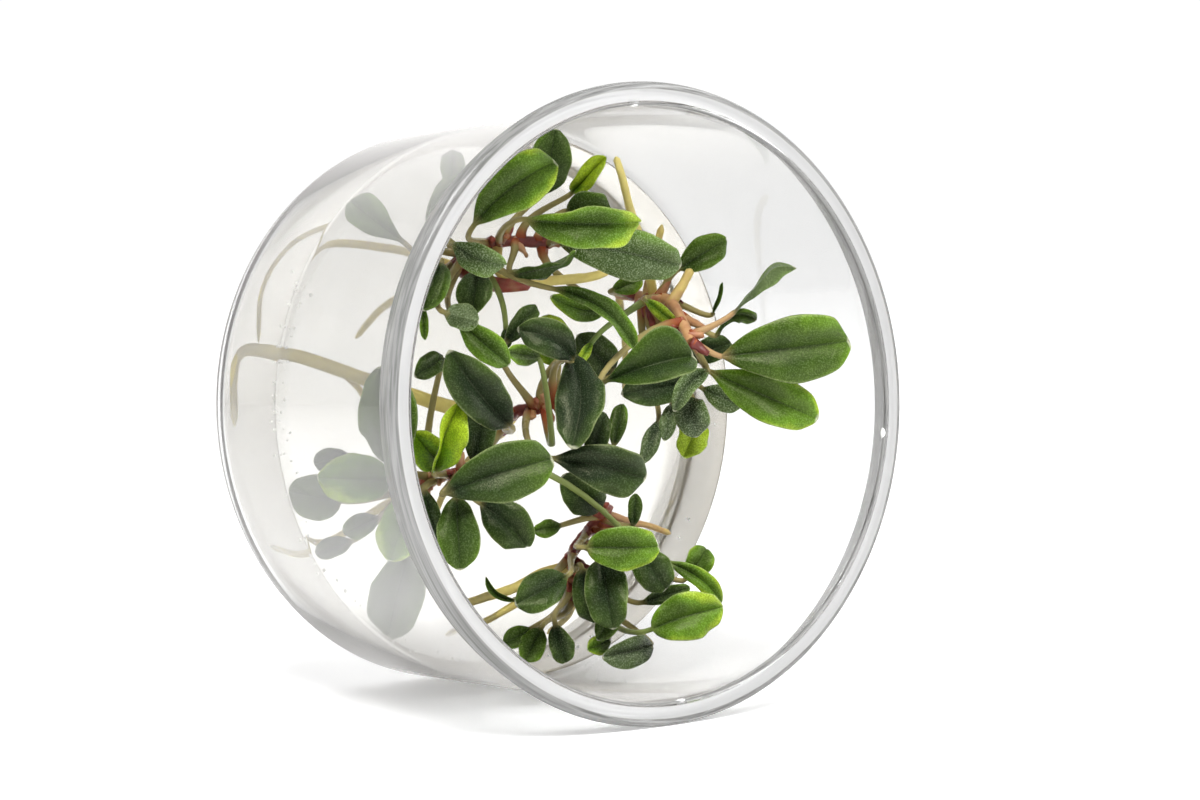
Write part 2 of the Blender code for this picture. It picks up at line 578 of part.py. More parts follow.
def cup_frame():
    """The empty that carries the cup's frame, tipped so that rim and foot touch the ground."""
    tilt = math.atan2(RIM_RADIUS - FOOT_RADIUS, CUP_HEIGHT - RIM_BEVEL - FOOT_HEIGHT)
    front = CUP_HEIGHT * math.cos(tilt) + RIM_FRONT_RADIUS * math.sin(tilt)
    back = BASE_RADIUS * math.sin(tilt)
    height = FOOT_RADIUS * math.cos(tilt) - FOOT_HEIGHT * math.sin(tilt)
    frame = bpy.data.objects.new("cup_frame", None)
    frame.rotation_euler = (math.pi / 2 - tilt, 0, 0)
    frame.location = (0, MM * (front - back) / 2, MM * height)
    bpy.context.collection.objects.link(frame)
    bpy.context.view_layer.update()
    return frame


def main():
    clear_scene()
    frame = cup_frame()
    clear_plastic = material("clear_plastic", CUP_COLOUR, 0.08, transmission=0.9, ior=1.49)
    clear_gel = material("clear_gel", GEL_COLOUR, 0.15, transmission=0.8, ior=1.34)
    rhizome_skin = material("rhizome_skin", RHIZOME_RED, 0.55)
    build_cup(clear_plastic, frame)
    build_gel(clear_gel, frame)
    for plant in (TOP, RIGHT, MIDDLE, LEFT, BOTTOM):
        build_rhizome(plant, rhizome_skin, frame)
        build_leaves(plant, material(f"{plant.name}_leaf_skin", plant.colour, 0.35), frame)


main()
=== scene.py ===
"""Bucephalandra in a clear culture cup that lies on its side, dressed for rendering.

Everything that belongs to the cup is drawn in the cup's own frame in millimetres, as in the part's
source: u to the right and v up as one looks into the mouth, w along the axis from the base to the mouth.
"""

import math
from dataclasses import dataclass

import bmesh
import bpy
import numpy as np
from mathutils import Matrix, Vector


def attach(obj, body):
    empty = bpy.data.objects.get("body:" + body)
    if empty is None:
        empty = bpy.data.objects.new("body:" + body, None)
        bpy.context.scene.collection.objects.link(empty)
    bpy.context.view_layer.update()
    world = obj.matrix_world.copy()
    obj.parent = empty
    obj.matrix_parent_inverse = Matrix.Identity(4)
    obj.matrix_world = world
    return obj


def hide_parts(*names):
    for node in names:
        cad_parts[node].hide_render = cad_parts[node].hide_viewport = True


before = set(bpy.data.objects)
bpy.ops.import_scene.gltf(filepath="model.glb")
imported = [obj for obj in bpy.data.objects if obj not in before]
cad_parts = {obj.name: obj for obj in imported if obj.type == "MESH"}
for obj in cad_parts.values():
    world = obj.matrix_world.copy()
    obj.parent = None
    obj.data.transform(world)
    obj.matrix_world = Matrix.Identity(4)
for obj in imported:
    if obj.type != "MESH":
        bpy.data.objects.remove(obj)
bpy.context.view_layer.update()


# The studio: a round white table top that is lit a little from below, a bright sky of diffusers with a
# darker side behind the camera, and two softboxes. The camera looks into the mouth from its left.

class Tap:
    """A shader value in a material's node tree. Arithmetic on it adds Math nodes."""

    def __init__(self, finish, socket):
        self.finish = finish
        self.socket = socket

    def maths(self, operation, *values):
        inputs = dict(enumerate(values))
        return self.finish.node("ShaderNodeMath", {"operation": operation}, inputs)

    def __add__(self, other):
        return self.maths("ADD", self, other)

    def __sub__(self, other):
        return self.maths("SUBTRACT", self, other)

    def __rsub__(self, other):
        return self.maths("SUBTRACT", other, self)

    def __mul__(self, other):
        return self.maths("MULTIPLY", self, other)

    def __pow__(self, other):
        return self.maths("POWER", self, other)

    def __abs__(self):
        return self.maths("ABSOLUTE", self)

    def least(self, other):
        return self.maths("MINIMUM", self, other)

    def most(self, other):
        return self.maths("MAXIMUM", self, other)

    def step(self, low, high):
        """0 below low and 1 above high, with a smooth rise between; low may be the larger."""
        settings = {"interpolation_type": "SMOOTHSTEP"}
        return self.finish.node("ShaderNodeMapRange", settings, {
            "Value": self, "From Min": min(low, high), "From Max": max(low, high),
            "To Min": 0.0 if low < high else 1.0, "To Max": 1.0 if low < high else 0.0})

    __radd__ = __add__
    __rmul__ = __mul__


class Finish:
    """A node tree under construction: a material's, or that of the sky."""

    def __init__(self, tree):
        self.tree = tree

    def node(self, kind, settings=None, inputs=None, out=0):
        """A new node with its settings, then its inputs' values or links. Gives one output as a Tap."""
        made = self.tree.nodes.new(kind)
        for name, value in (settings or {}).items():
            if name == "stops":
                for stop, (place, colour) in zip(made.color_ramp.elements, value):
                    stop.position = place
                    stop.color = (*colour, 1)
                for place, colour in value[2:]:
                    made.color_ramp.elements.new(place).color = (*colour, 1)
            else:
                setattr(made, name, value)
        by_identifier = {socket.identifier: socket for socket in made.inputs}
        for name, value in (inputs or {}).items():
            socket = by_identifier[name] if name in by_identifier else made.inputs[name]
            if isinstance(value, Tap):
                self.tree.links.new(value.socket, socket)
            else:
                socket.default_value = value
        return Tap(self, made.outputs[out])

    def blend(self, share, first, second):
        """The colour first where share is 0 and second where it is 1."""
        def colour(value):
            return (*value, 1) if isinstance(value, tuple) else value
        inputs = {"Factor_Float": share, "A_Color": colour(first), "B_Color": colour(second)}
        return self.node("ShaderNodeMix", {"data_type": "RGBA"}, inputs, out=2)

    def noise(self, place, scale, detail=2.0):
        return self.node("ShaderNodeTexNoise", {}, {"Vector": place, "Scale": scale, "Detail": detail})


class Surface(Finish):
    """A material whose Principled shader takes fixed numbers on its sockets and links for what varies."""

    def __init__(self, name, **fixed):
        self.material = bpy.data.materials.new(name)
        self.material.use_nodes = True
        super().__init__(self.material.node_tree)
        self.shader = self.tree.nodes["Principled BSDF"]
        self.output = self.tree.nodes["Material Output"]
        for socket, value in fixed.items():
            self.shader.inputs[socket.replace("_", " ")].default_value = value
        self.place = self.node("ShaderNodeTexCoord", out="Object")

    def feed(self, **links):
        for socket, value in links.items():
            self.tree.links.new(value.socket, self.shader.inputs[socket.replace("_", " ")])

    def bump(self, height, distance, strength=1.0):
        self.feed(Normal=self.node("ShaderNodeBump", {}, {
            "Height": height, "Distance": distance, "Strength": strength}, out="Normal"))

    def haze(self, share, shader):
        """Lay another shader over the Principled one, as a share of the light."""
        mixed = self.node("ShaderNodeMixShader", {}, {
            0: share, 1: Tap(self, self.shader.outputs[0]), 2: shader})
        self.tree.links.new(mixed.socket, self.output.inputs["Surface"])


FLOOR_RADIUS = 1.2
FLOOR_SIDES = 96


def mesh_of(name, points, faces):
    """An object at the origin from points in metres, smooth, with its faces turned outwards."""
    mesh = bpy.data.meshes.new(name)
    mesh.from_pydata([tuple(map(float, point)) for point in points], [], faces)
    made = bpy.data.objects.new(name, mesh)
    bpy.context.collection.objects.link(made)
    shape = bmesh.new()
    shape.from_mesh(mesh)
    bmesh.ops.recalc_face_normals(shape, faces=shape.faces)
    shape.to_mesh(mesh)
    shape.free()
    mesh.polygons.foreach_set("use_smooth", [True] * len(mesh.polygons))
    return made


def table_top():
    rings = [(FLOOR_RADIUS * share, 0.0) for share in (0.1, 0.3, 0.6, 0.99)] + [(FLOOR_RADIUS, -0.01)]
    points = [(0, 0, 0)]
    for radius, height in rings:
        points.extend((radius * math.cos(turn), radius * math.sin(turn), height)
                      for turn in np.linspace(0, 2 * math.pi, FLOOR_SIDES, endpoint=False))
    faces = [(0, 1 + side, 1 + (side + 1) % FLOOR_SIDES) for side in range(FLOOR_SIDES)]
    for row in range(len(rings) - 1):
        for side in range(FLOOR_SIDES):
            beside = (side + 1) % FLOOR_SIDES
            lower, upper = 1 + row * FLOOR_SIDES, 1 + (row + 1) * FLOOR_SIDES
            faces.append((lower + side, lower + beside, upper + beside, upper + side))
    return mesh_of("table_top", points, faces)


paper = Surface("white_paper", Roughness=0.7, Emission_Color=(1, 1, 1, 1), Emission_Strength=0.3)
paper.feed(Base_Color=paper.blend(paper.noise(paper.place, 9.0), (0.93, 0.93, 0.93), (0.95, 0.95, 0.95)))
floor = table_top()
floor.data.materials.append(paper.material)

world = bpy.context.scene.world or bpy.data.worlds.new("studio")
bpy.context.scene.world = world
world.use_nodes = True
sky = Finish(world.node_tree)
toward = sky.node("ShaderNodeTexCoord", out="Generated")
DARK_SIDE = (-0.3, -0.92, 0.25)
dark = sky.node("ShaderNodeVectorMath", {"operation": "DOT_PRODUCT"},
                {0: toward, 1: DARK_SIDE}, out="Value").step(0.05, 0.65)
shade = sky.blend(dark, (1.0, 1.0, 1.0), (0.10, 0.10, 0.10))
background = world.node_tree.nodes["Background"]
world.node_tree.links.new(shade.socket, background.inputs["Color"])
background.inputs["Strength"].default_value = 1.03


def softbox(name, place, aim, width, power):
    lamp = bpy.data.lights.new(name, "AREA")
    lamp.shape = "SQUARE"
    lamp.size = width
    lamp.energy = power
    made = bpy.data.objects.new(name, lamp)
    made.location = place
    made.rotation_euler = (Vector(place) - Vector(aim)).to_track_quat("Z", "Y").to_euler()
    bpy.context.collection.objects.link(made)


softbox("key_light", (-0.35, -0.50, 0.85), (0, 0, 0.05), 0.45, 17.0)
softbox("side_light", (0.75, -0.45, 0.50), (0, 0, 0.05), 0.4, 4.0)

CAMERA_TARGET = Vector((-0.00767, -0.0242, 0.0505))
CAMERA_BACK = Vector((-0.5969, -0.7973, 0.0901)).normalized()
CAMERA_DISTANCE = 0.51515
camera = bpy.data.objects.new("camera", bpy.data.cameras.new("camera"))
camera.data.lens = 100
camera.data.sensor_width = 36
camera.data.clip_start = 0.01
camera.location = CAMERA_TARGET + CAMERA_DISTANCE * CAMERA_BACK
camera.rotation_euler = CAMERA_BACK.to_track_quat("Z", "Y").to_euler()
bpy.context.collection.objects.link(camera)
bpy.context.scene.camera = camera
bpy.context.scene.view_settings.view_transform = "Standard"


# The cup: one injection-moulded piece of clear, faintly milky polypropylene, with a rounded foot, a thin
# wall and a flat rim with a turned-back skirt. It lies on the edge of its rim and on its foot.

CUP_SIDES = 512
RIM_RADIUS = 50.0
FOOT_RADIUS = 45.8
BASE_RADIUS = 43.4
FOOT_TO_RIM = 56.2
TILT = math.atan2(RIM_RADIUS - FOOT_RADIUS, FOOT_TO_RIM)
CUP_ORIGIN_Y = 30.397
CUP_ORIGIN_Z = 45.375


def placed(points):
    """Points of the cup's frame in millimetres, as places in the part's frame in metres."""
    u, v, w = np.asarray(points, dtype=float).T
    y = CUP_ORIGIN_Y - w * math.cos(TILT) + v * math.sin(TILT)
    z = CUP_ORIGIN_Z + v * math.cos(TILT) + w * math.sin(TILT)
    return np.stack([u, y, z], axis=1) / 1000


class Recipe(Finish):
    """A Geometry Nodes tree with named inputs. Its result ends realised and in one material."""

    def __init__(self, name):
        super().__init__(bpy.data.node_groups.new(name, "GeometryNodeTree"))
        sockets = self.tree.interface
        sockets.new_socket("Geometry", in_out="INPUT", socket_type="NodeSocketGeometry")
        sockets.new_socket("Geometry", in_out="OUTPUT", socket_type="NodeSocketGeometry")
        self.group_input = self.tree.nodes.new("NodeGroupInput")
        self.start = Tap(self, self.group_input.outputs[0])

    def size(self, name, value, kind="NodeSocketFloat"):
        made = self.tree.interface.new_socket(name, in_out="INPUT", socket_type=kind)
        made.default_value = value
        return Tap(self, self.group_input.outputs[name])

    def end(self, geometry, material):
        real = self.node("GeometryNodeRealizeInstances", {}, {"Geometry": geometry})
        dressed = self.node("GeometryNodeSetMaterial", {}, {"Geometry": real, "Material": material})
        finish = self.tree.nodes.new("NodeGroupOutput")
        self.tree.links.new(dressed.socket, finish.inputs[0])

    def run(self, made, **sizes):
        """Run the tree on an object with sizes for its inputs, and keep the result as a plain mesh."""
        step = made.modifiers.new(self.tree.name, "NODES")
        step.node_group = self.tree
        for socket in self.tree.interface.items_tree:
            if socket.in_out == "INPUT" and socket.name in sizes:
                step[socket.identifier] = sizes[socket.name]
        graph = bpy.context.evaluated_depsgraph_get()
        mesh = bpy.data.meshes.new_from_object(made.evaluated_get(graph))
        made.modifiers.clear()
        made.data = mesh
        return made


def arc(centre, radius, start, end, steps):
    """Points on an arc of a profile, from one angle to another in degrees (0 outwards, 90 to the mouth)."""
    turns = np.radians(np.linspace(start, end, steps))
    return [(centre[0] + radius * math.cos(turn), centre[1] + radius * math.sin(turn)) for turn in turns]


# A turned profile is swept round a circle of this radius, and is drawn from it.
TURNING_RADIUS = 10


def turning_recipe(material):
    recipe = Recipe("turning")
    sides = recipe.size("sides", CUP_SIDES, "NodeSocketInt")
    curve = recipe.node("GeometryNodeMeshToCurve", {}, {"Mesh": recipe.start})
    circle = recipe.node("GeometryNodeCurvePrimitiveCircle", {}, {
        "Resolution": sides, "Radius": TURNING_RADIUS / 1000})
    skin = recipe.node("GeometryNodeCurveToMesh", {}, {"Curve": circle, "Profile Curve": curve})
    closed = recipe.node("GeometryNodeMergeByDistance", {}, {"Geometry": skin, "Distance": 1e-6})
    smooth = recipe.node("GeometryNodeSetShadeSmooth", {}, {"Geometry": closed})
    recipe.end(smooth, material)
    return recipe


def turned(name, profile, material):
    """Turn a profile of (radius, height) pairs about the cup's axis, from the axis round to the axis."""
    mesh = bpy.data.meshes.new(name)
    points = [((radius - TURNING_RADIUS) / 1000, height / 1000, 0) for radius, height in profile]
    mesh.from_pydata(points, [(row, row + 1) for row in range(len(points) - 1)], [])
    made = bpy.data.objects.new(name, mesh)
    bpy.context.collection.objects.link(made)
    turning_recipe(material).run(made, sides=CUP_SIDES)
    shape = bmesh.new()
    shape.from_mesh(made.data)
    for corner in shape.verts:
        u, v, depth = corner.co
        corner.co = placed([(u * 1000, v * 1000, abs(depth) * 1000)])[0]
    bmesh.ops.recalc_face_normals(shape, faces=shape.faces)
    if shape.calc_volume(signed=True) < 0:
        bmesh.ops.reverse_faces(shape, faces=shape.faces)
    shape.to_mesh(made.data)
    shape.free()
    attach(made, "root")
    return made


def in_cup(surface):
    """Across, above, height and distance from the axis, in the cup's frame in millimetres."""
    turned_back = surface.node("ShaderNodeMapping", {"vector_type": "TEXTURE"}, {
        "Vector": surface.place, "Location": (0, CUP_ORIGIN_Y / 1000, CUP_ORIGIN_Z / 1000),
        "Rotation": (math.pi / 2 - TILT, 0, 0)})
    parts = surface.node("ShaderNodeSeparateXYZ", {}, {0: turned_back}).socket.node
    across, above, height = [Tap(surface, socket) * 1000 for socket in parts.outputs]
    return across, above, height, (across ** 2 + above ** 2) ** 0.5


clear = Surface("clear_polypropylene", Roughness=0.03, Transmission_Weight=1.0, IOR=1.49)
drift = clear.noise(clear.place, 35.0, detail=3.0)
clear.feed(Base_Color=clear.blend(drift, (0.84, 0.845, 0.85), (0.87, 0.875, 0.875)))
across, above, height, distance = in_cup(clear)
# The flange is milky and painted mid grey, the outside of the skirt is painted a streaky dark grey, and
# the lip, a thick edge, is painted dark: painted shade for the dark reflections in the thick clear rim.
skirt = distance.step(48.4, 48.8)
flange = distance.step(46.7, 46.95) * distance.step(48.8, 48.5) * height.step(60.15, 60.25)
lip = distance.step(46.60, 46.45) * height.step(59.75, 59.85)
streak_noise = clear.noise(clear.node("ShaderNodeCombineXYZ", {}, {
    0: distance * 2.5, 1: height * 2.5, 2: across * 0.16 + above * 0.12}), 1.0, detail=3.0)
# Painted shade: streaky dark grey for the skirt and the lip, for the dark reflections in the thick clear
# rim.
painted_shade_streaks = clear.blend(streak_noise.step(0.35, 0.65), (0.15, 0.15, 0.145), (0.25, 0.25, 0.245))
# Painted shade: mid grey on the flange; the rest of the haze is cream milk.
milk_and_flange_shade = clear.blend(flange, (0.76, 0.735, 0.71), (0.43, 0.43, 0.43))
milk_and_rim_shade = clear.node("ShaderNodeBsdfDiffuse", {}, {"Color": clear.blend(skirt.most(lip), milk_and_flange_shade, painted_shade_streaks)})
edgewise = clear.node("ShaderNodeLayerWeight", {}, {"Blend": 0.5}, out="Facing")
body = (drift * 0.03 + 0.02 + edgewise ** 4 * 0.34) * (1 - skirt)
clear.haze(body + skirt * 0.7 + flange * 0.72 + lip * 0.75 * streak_noise.step(0.30, 0.45), milk_and_rim_shade)

cup = turned("cup_moulding", (
    [(0, 0), (BASE_RADIUS - 1.5, 0.0)]
    + arc((BASE_RADIUS - 1.5, 4.0), 4.0, -90, -60, 4)
    + arc((41.8, 4.0), 4.0, -40, 0, 6)
    + [(46.2, 25.0), (46.55, 45.0), (46.85, 58.8)]
    + arc((47.15, 59.0), 0.3, 180, 90, 4)
    + arc((47.9, 59.1), 0.2, 90, 0, 4)
    + [(48.1, 57.5)]
    + arc((48.5, 55.9), 0.4, -180, 0, 9)
    + [(49.2, 57.0), (49.7, 58.2)]
    + arc((48.5, 59.1), 1.4, -15, 90, 12)
    + [(48.2, 60.45), (47.6, 60.4), (47.1, 60.45)]
    + arc((46.7, 60.0), 0.5, 80, 180, 8)
    + [(46.15, 56.0), (45.5, 25.0), (45.1, 5.0), (44.9, 3.6), (44.3, 2.2), (43.2, 1.3), (42.0, 1.0),
       (0, 1.0)]), clear.material)
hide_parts("cup")


# The rim's catches: three small rounded lumps on the inner edge of the rim, which hold a lid. They are
# moulded with the cup, and look milky because they are thick.

CATCH_TURNS = (93.0, 272.0, 351.0)
CATCH_RADIUS = 46.5
CATCH_HEIGHT = 59.8
CATCH_HALF_SIZE = (0.5, 1.1, 0.6)

catch_points, catch_faces = [], []
for turn in np.radians(CATCH_TURNS):
    ball = bmesh.new()
    bmesh.ops.create_icosphere(ball, subdivisions=3, radius=1.0)
    start = len(catch_points)
    for corner in ball.verts:
        outward, sideways, upward = np.array(corner.co) * CATCH_HALF_SIZE
        radius = CATCH_RADIUS + outward
        catch_points.append((radius * math.cos(turn) - sideways * math.sin(turn),
                             radius * math.sin(turn) + sideways * math.cos(turn), CATCH_HEIGHT + upward))
    catch_faces += [[start + corner.index for corner in face.verts] for face in ball.faces]
    ball.free()
nub = Surface("milky_nub", Roughness=0.25, IOR=1.49)
nub.feed(Base_Color=nub.blend(nub.noise(nub.place, 600.0), (0.70, 0.70, 0.69), (0.85, 0.85, 0.84)))
catches = mesh_of("rim_catches", placed(catch_points), catch_faces)
catches.data.materials.append(nub.material)
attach(catches, "root")


# The gel: a disc of clear, cream-tinted culture gel that was poured warm and set in the base, so its
# surface is flat with a small meniscus up the wall. Small bubbles sit along its edge.

GEL_SURFACE = 20.3
GEL_EDGE_RADIUS = 44.9

jelly = Surface("culture_gel", Roughness=0.02, Transmission_Weight=1.0, IOR=1.34)
wave = jelly.noise(jelly.place, 60.0)
jelly.feed(Base_Color=jelly.blend(wave, (0.985, 0.965, 0.92), (0.99, 0.975, 0.94)))
jelly.bump(wave, 0.0004, 0.4)
cloud = jelly.node("ShaderNodeBsdfDiffuse", {}, {"Color": (0.96, 0.90, 0.78, 1.0)})
distance = in_cup(jelly)[3]
jelly.haze(wave * 0.04 + 0.05 + distance.step(42.0, 44.0) * 0.18, cloud)

gel = turned("gel_disc", [
    (0, 1.4), (42.2, 1.4), (43.4, 2.0), (44.2, 3.2), (44.7, 4.8), (44.9, 10.0),
    (GEL_EDGE_RADIUS + 0.1, 20.2), (GEL_EDGE_RADIUS, 20.9), (44.4, 20.55), (43.4, 20.35),
    (42.0, GEL_SURFACE), (0, GEL_SURFACE)], jelly.material)
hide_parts("gel")


def bubble_recipe(material):
    """Small bubbles, one at each point of the ring that it is given, moved and sized at random."""
    recipe = Recipe("bubbles")
    size = recipe.size("size", 0.0004)
    spread = recipe.size("spread", 0.002)
    seed = recipe.size("seed", 3, "NodeSocketInt")
    points = recipe.node("GeometryNodeMeshToPoints", {}, {"Mesh": recipe.start})
    shift = recipe.node("FunctionNodeRandomValue", {"data_type": "FLOAT_VECTOR"}, {
        "Min": (-1, -1, -1), "Max": (1, 1, 1), "Seed": seed})
    shift = recipe.node("ShaderNodeVectorMath", {"operation": "SCALE"}, {0: shift, "Scale": spread})
    points = recipe.node("GeometryNodeSetPosition", {}, {"Geometry": points, "Offset": shift})
    ball = recipe.node("GeometryNodeMeshIcoSphere", {}, {"Radius": size, "Subdivisions": 2})
    share = recipe.node("FunctionNodeRandomValue", {"data_type": "FLOAT"}, {
        "Min_001": 0.25, "Max_001": 1.0, "Seed": seed}, out=1)
    balls = recipe.node("GeometryNodeInstanceOnPoints", {}, {
        "Points": points, "Instance": ball, "Scale": share})
    recipe.end(balls, material)
    return recipe


# The froth glows a little: painted light that stands in for the glints on the bubbles.
froth = Surface("froth", Roughness=0.15, IOR=1.33, Emission_Color=(1, 1, 1, 1), Emission_Strength=0.25)
froth.feed(Base_Color=froth.blend(froth.noise(froth.place, 900.0), (0.9, 0.92, 0.93), (1.0, 1.0, 1.0)))

# Start and end of each arc of bubbles in degrees, its radius and height, and how many bubbles it has.
BUBBLE_ARCS = ((150, 212, 43.0, 18.8, 34), (212, 262, 43.2, 18.7, 22), (262, 330, 43.3, 16.4, 12),
               (330, 510, 43.4, 17.4, 9))

ring = []
for start, end, radius, height, count in BUBBLE_ARCS:
    for turn in np.radians(np.linspace(start, end, count)):
        ring.append((radius * math.cos(turn), radius * math.sin(turn), height))
bubbles = mesh_of("gel_bubbles", placed(ring), [])
bubble_recipe(froth.material).run(bubbles, size=0.00036, spread=0.0011, seed=5)
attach(bubbles, "root")


# The top plant: a creeping rhizome, red-brown and knobbly, that came out of the gel. Its roots and leaves
# are live growth. Roots and rhizome are one piece, the youngest leaves another, and each leaf is one more.

# The leaves turn towards the light, which is a direction in the cup's frame.
LIGHT = np.array([-0.6, 0.0, 0.8])
RHIZOME_RADIUS = 1.0
ROOT_TAPER = 0.7
ROOT_SWELL = 1.65
BLADE_THICKNESS = 0.4
STALK_FOOT_RADIUS = 0.55
STALK_NECK_RADIUS = 0.42
SHEATH_RADIUS = 0.4
TIP_BLUNTNESS = 0.55
FOOT_REACH = 0.35
NECK_REACH = 0.2
BLADE_ACROSS = (1.0, 0.97, 0.88, 0.74, 0.56, 0.38, 0.22, 0.11, 0.04)
BLADE_STATIONS = (0.03, 0.07, 0.12, 0.18, 0.25, 0.32, 0.39, 0.46, 0.53, 0.60, 0.66, 0.72, 0.77, 0.82,
                  0.86, 0.895, 0.925, 0.95, 0.97, 0.985)
STALK_RINGS = 10
EXTRA_FOLD = 6.0
TWIST = 13.0
PILLOW = 0.20
MARGIN_RIPPLE = 0.065
GROOVE_DEPTH = 0.16
GROOVE_WIDTH = 0.3
HOOK_START = 0.7
TIP_START = 0.88


@dataclass
class Leaf:
    """One leaf, where its solid in the part's source stands, with a tone for its colour.

    tone is 0 for a dark blue-green leaf, 0.5 for a grass-green one and 1 for a young lime one. stalk
    is 0 for a pale green stalk and 1 for a pinkish tan one. painted_sheen is how much grey sheen, a painted
    highlight, is laid into its colour, and hook is how far the tip curls aside.
    """

    number: int
    at: float
    neck: tuple
    tip: tuple
    width: float
    tone: float
    roll: float = 0.0
    arch: float = 1.0
    fold: float = 8.0
    widest: float = 0.55
    sweep: float = 0.0
    young: bool = False
    via: tuple = None
    stalk: float = 0.5
    painted_sheen: float = 0.5
    hook: tuple = (0, 0, 0)


def unit(vector):
    return vector / np.linalg.norm(vector)


def smooth_path(points, steps):
    """Evenly numbered points on a Catmull-Rom curve through the given points."""
    known = [np.array(point, dtype=float) for point in points]
    known = [2 * known[0] - known[1]] + known + [2 * known[-1] - known[-2]]
    path = []
    for before, start, end, after in zip(known, known[1:], known[2:], known[3:]):
        for step in range(steps):
            t = step / steps
            path.append(0.5 * (2 * start + (end - before) * t
                               + (2 * before - 5 * start + 4 * end - after) * t ** 2
                               + (3 * start - before - 3 * end + after) * t ** 3))
    path.append(known[-2])
    return np.array(path)


def point_along(path, share):
    place = share * (len(path) - 1)
    index = min(int(place), len(path) - 2)
    step = path[index + 1] - path[index]
    return path[index] + step * (place - index), unit(step)


def grow_leaf(leaf, rhizome):
    """A leaf's points in the cup's frame, its faces, and each point's place on the leaf.

    The rings run from the foot of the stalk to the tip of the blade. A point's place is how far it is
    across the blade (-1 to 1), how far along it (below 0 on the stalk) and how far it faces up (-1 to 1).
    """
    neck = np.array(leaf.neck, dtype=float)
    tip = np.array(leaf.tip, dtype=float)
    along = unit(tip - neck)
    facing = unit(LIGHT - (LIGHT @ along) * along)
    roll = math.radians(leaf.roll)
    normal = math.cos(roll) * facing + math.sin(roll) * np.cross(along, facing)
    side = np.cross(along, normal)
    middle = (neck + tip) / 2 + 2 * leaf.arch * normal + 2 * leaf.sweep * side

    axis_point, axis = point_along(rhizome, leaf.at)
    outward = np.array(leaf.via or leaf.neck, dtype=float) - axis_point
    if leaf.at < 1.0:
        outward = outward - (outward @ axis) * axis
    outward = unit(outward)
    foot = axis_point + 0.4 * outward
    span = np.linalg.norm(neck - foot)
    start = unit(middle - neck)
    lower = foot + FOOT_REACH * span * outward if leaf.via is None else np.array(leaf.via, dtype=float)
    upper = neck - NECK_REACH * span * start

    around = [(share, 1) for share in BLADE_ACROSS] + [(0.0, 1)]
    around += [(-share, 1) for share in reversed(BLADE_ACROSS)]
    around += [(-share, -1) for share in BLADE_ACROSS[1:]] + [(0.0, -1)]
    around += [(share, -1) for share in reversed(BLADE_ACROSS[1:])]
    across_share = np.array([share for share, _ in around])
    up_share = np.array([face * math.sqrt(1 - share * share) for share, face in around])

    points, place = [], []
    hook = np.array(leaf.hook, dtype=float)
    across = side
    for t in np.linspace(1, 0, STALK_RINGS + 1):
        centre = ((1 - t) ** 3 * foot + 3 * (1 - t) ** 2 * t * lower + 3 * (1 - t) * t ** 2 * upper
                  + t ** 3 * neck)
        ahead = unit((1 - t) ** 2 * (lower - foot) + 2 * (1 - t) * t * (upper - lower)
                     + t ** 2 * (neck - upper))
        across = unit(across - (across @ ahead) * ahead)
        up = np.cross(across, ahead)
        size = STALK_FOOT_RADIUS + (STALK_NECK_RADIUS - STALK_FOOT_RADIUS) * t
        size += SHEATH_RADIUS * math.exp(-6 * t)
        ring = centre + size * (across_share[:, None] * across + up_share[:, None] * up)
        points.insert(0, ring)
        place.insert(0, np.stack([across_share, np.full(len(ring), t - 1), up_share], axis=1))

    base_power = TIP_BLUNTNESS * leaf.widest / (1 - leaf.widest)
    peak = leaf.widest ** base_power * (1 - leaf.widest) ** TIP_BLUNTNESS
    fold = math.radians(leaf.fold + EXTRA_FOLD)
    wave_count = 1.6 + 0.35 * (leaf.number % 5)
    wave_start = 2.4 * leaf.number
    for t in BLADE_STATIONS:
        centre = (1 - t) ** 2 * neck + 2 * t * (1 - t) * middle + t ** 2 * tip
        centre = centre + (max(t - HOOK_START, 0) / (1 - HOOK_START)) ** 2 * hook
        ahead = unit((1 - t) * (middle - neck) + t * (tip - middle))
        across = unit(np.cross(ahead, normal))
        up = np.cross(across, ahead)
        twist = math.radians(TWIST) * math.sin(2 * math.pi * 0.8 * t + 1.7 * leaf.number) * min(3 * t, 1)
        across, up = (math.cos(twist) * across + math.sin(twist) * up,
                      math.cos(twist) * up - math.sin(twist) * across)
        half = leaf.width / 2 * t ** base_power * (1 - t) ** TIP_BLUNTNESS / peak
        half *= 1 + 0.05 * math.sin(2 * math.pi * 1.3 * t + wave_start) * (1 - t)
        half *= 1 - 0.3 * max(t - TIP_START, 0) / (1 - TIP_START)
        half = math.hypot(half, STALK_NECK_RADIUS * (1 - t))
        thick = STALK_NECK_RADIUS * math.exp(-9 * t) + BLADE_THICKNESS / 2 * (1 - 0.4 * t)
        reach = np.abs(across_share)
        lift = half * math.sin(fold) * reach ** 1.4 + PILLOW * half * np.sin(math.pi * reach)
        ripple = MARGIN_RIPPLE * leaf.width * min(3 * t, 1) * reach ** 2.2
        lift = lift + ripple * np.sin(2 * math.pi * wave_count * t + wave_start
                                      + np.where(across_share > 0, 0.0, 2.1))
        groove = GROOVE_DEPTH * min(6 * t, 1) * (1 - t)
        groove = groove * np.exp(-(across_share * half / GROOVE_WIDTH) ** 2)
        lift = lift + thick * up_share - groove * np.where(up_share > 0, 1.0, 1.4)
        ring = (centre + (half * math.cos(fold) * across_share)[:, None] * across
                + lift[:, None] * up)
        points.append(ring)
        place.append(np.stack([across_share, np.full(len(ring), t), up_share], axis=1))

    count = len(around)
    faces = [tuple(range(count))]
    for row in range(len(points) - 1):
        for corner in range(count):
            beside = (corner + 1) % count
            faces.append((row * count + corner, row * count + beside,
                          (row + 1) * count + beside, (row + 1) * count + corner))
    last = (len(points) - 1) * count
    faces += [(last + corner, last + (corner + 1) % count, last + count) for corner in range(count)]
    points = np.vstack(points + [(tip + hook)[None]])
    place = np.vstack(place + [np.array([[0.0, 1.0, 0.0]])])
    return points, faces, place


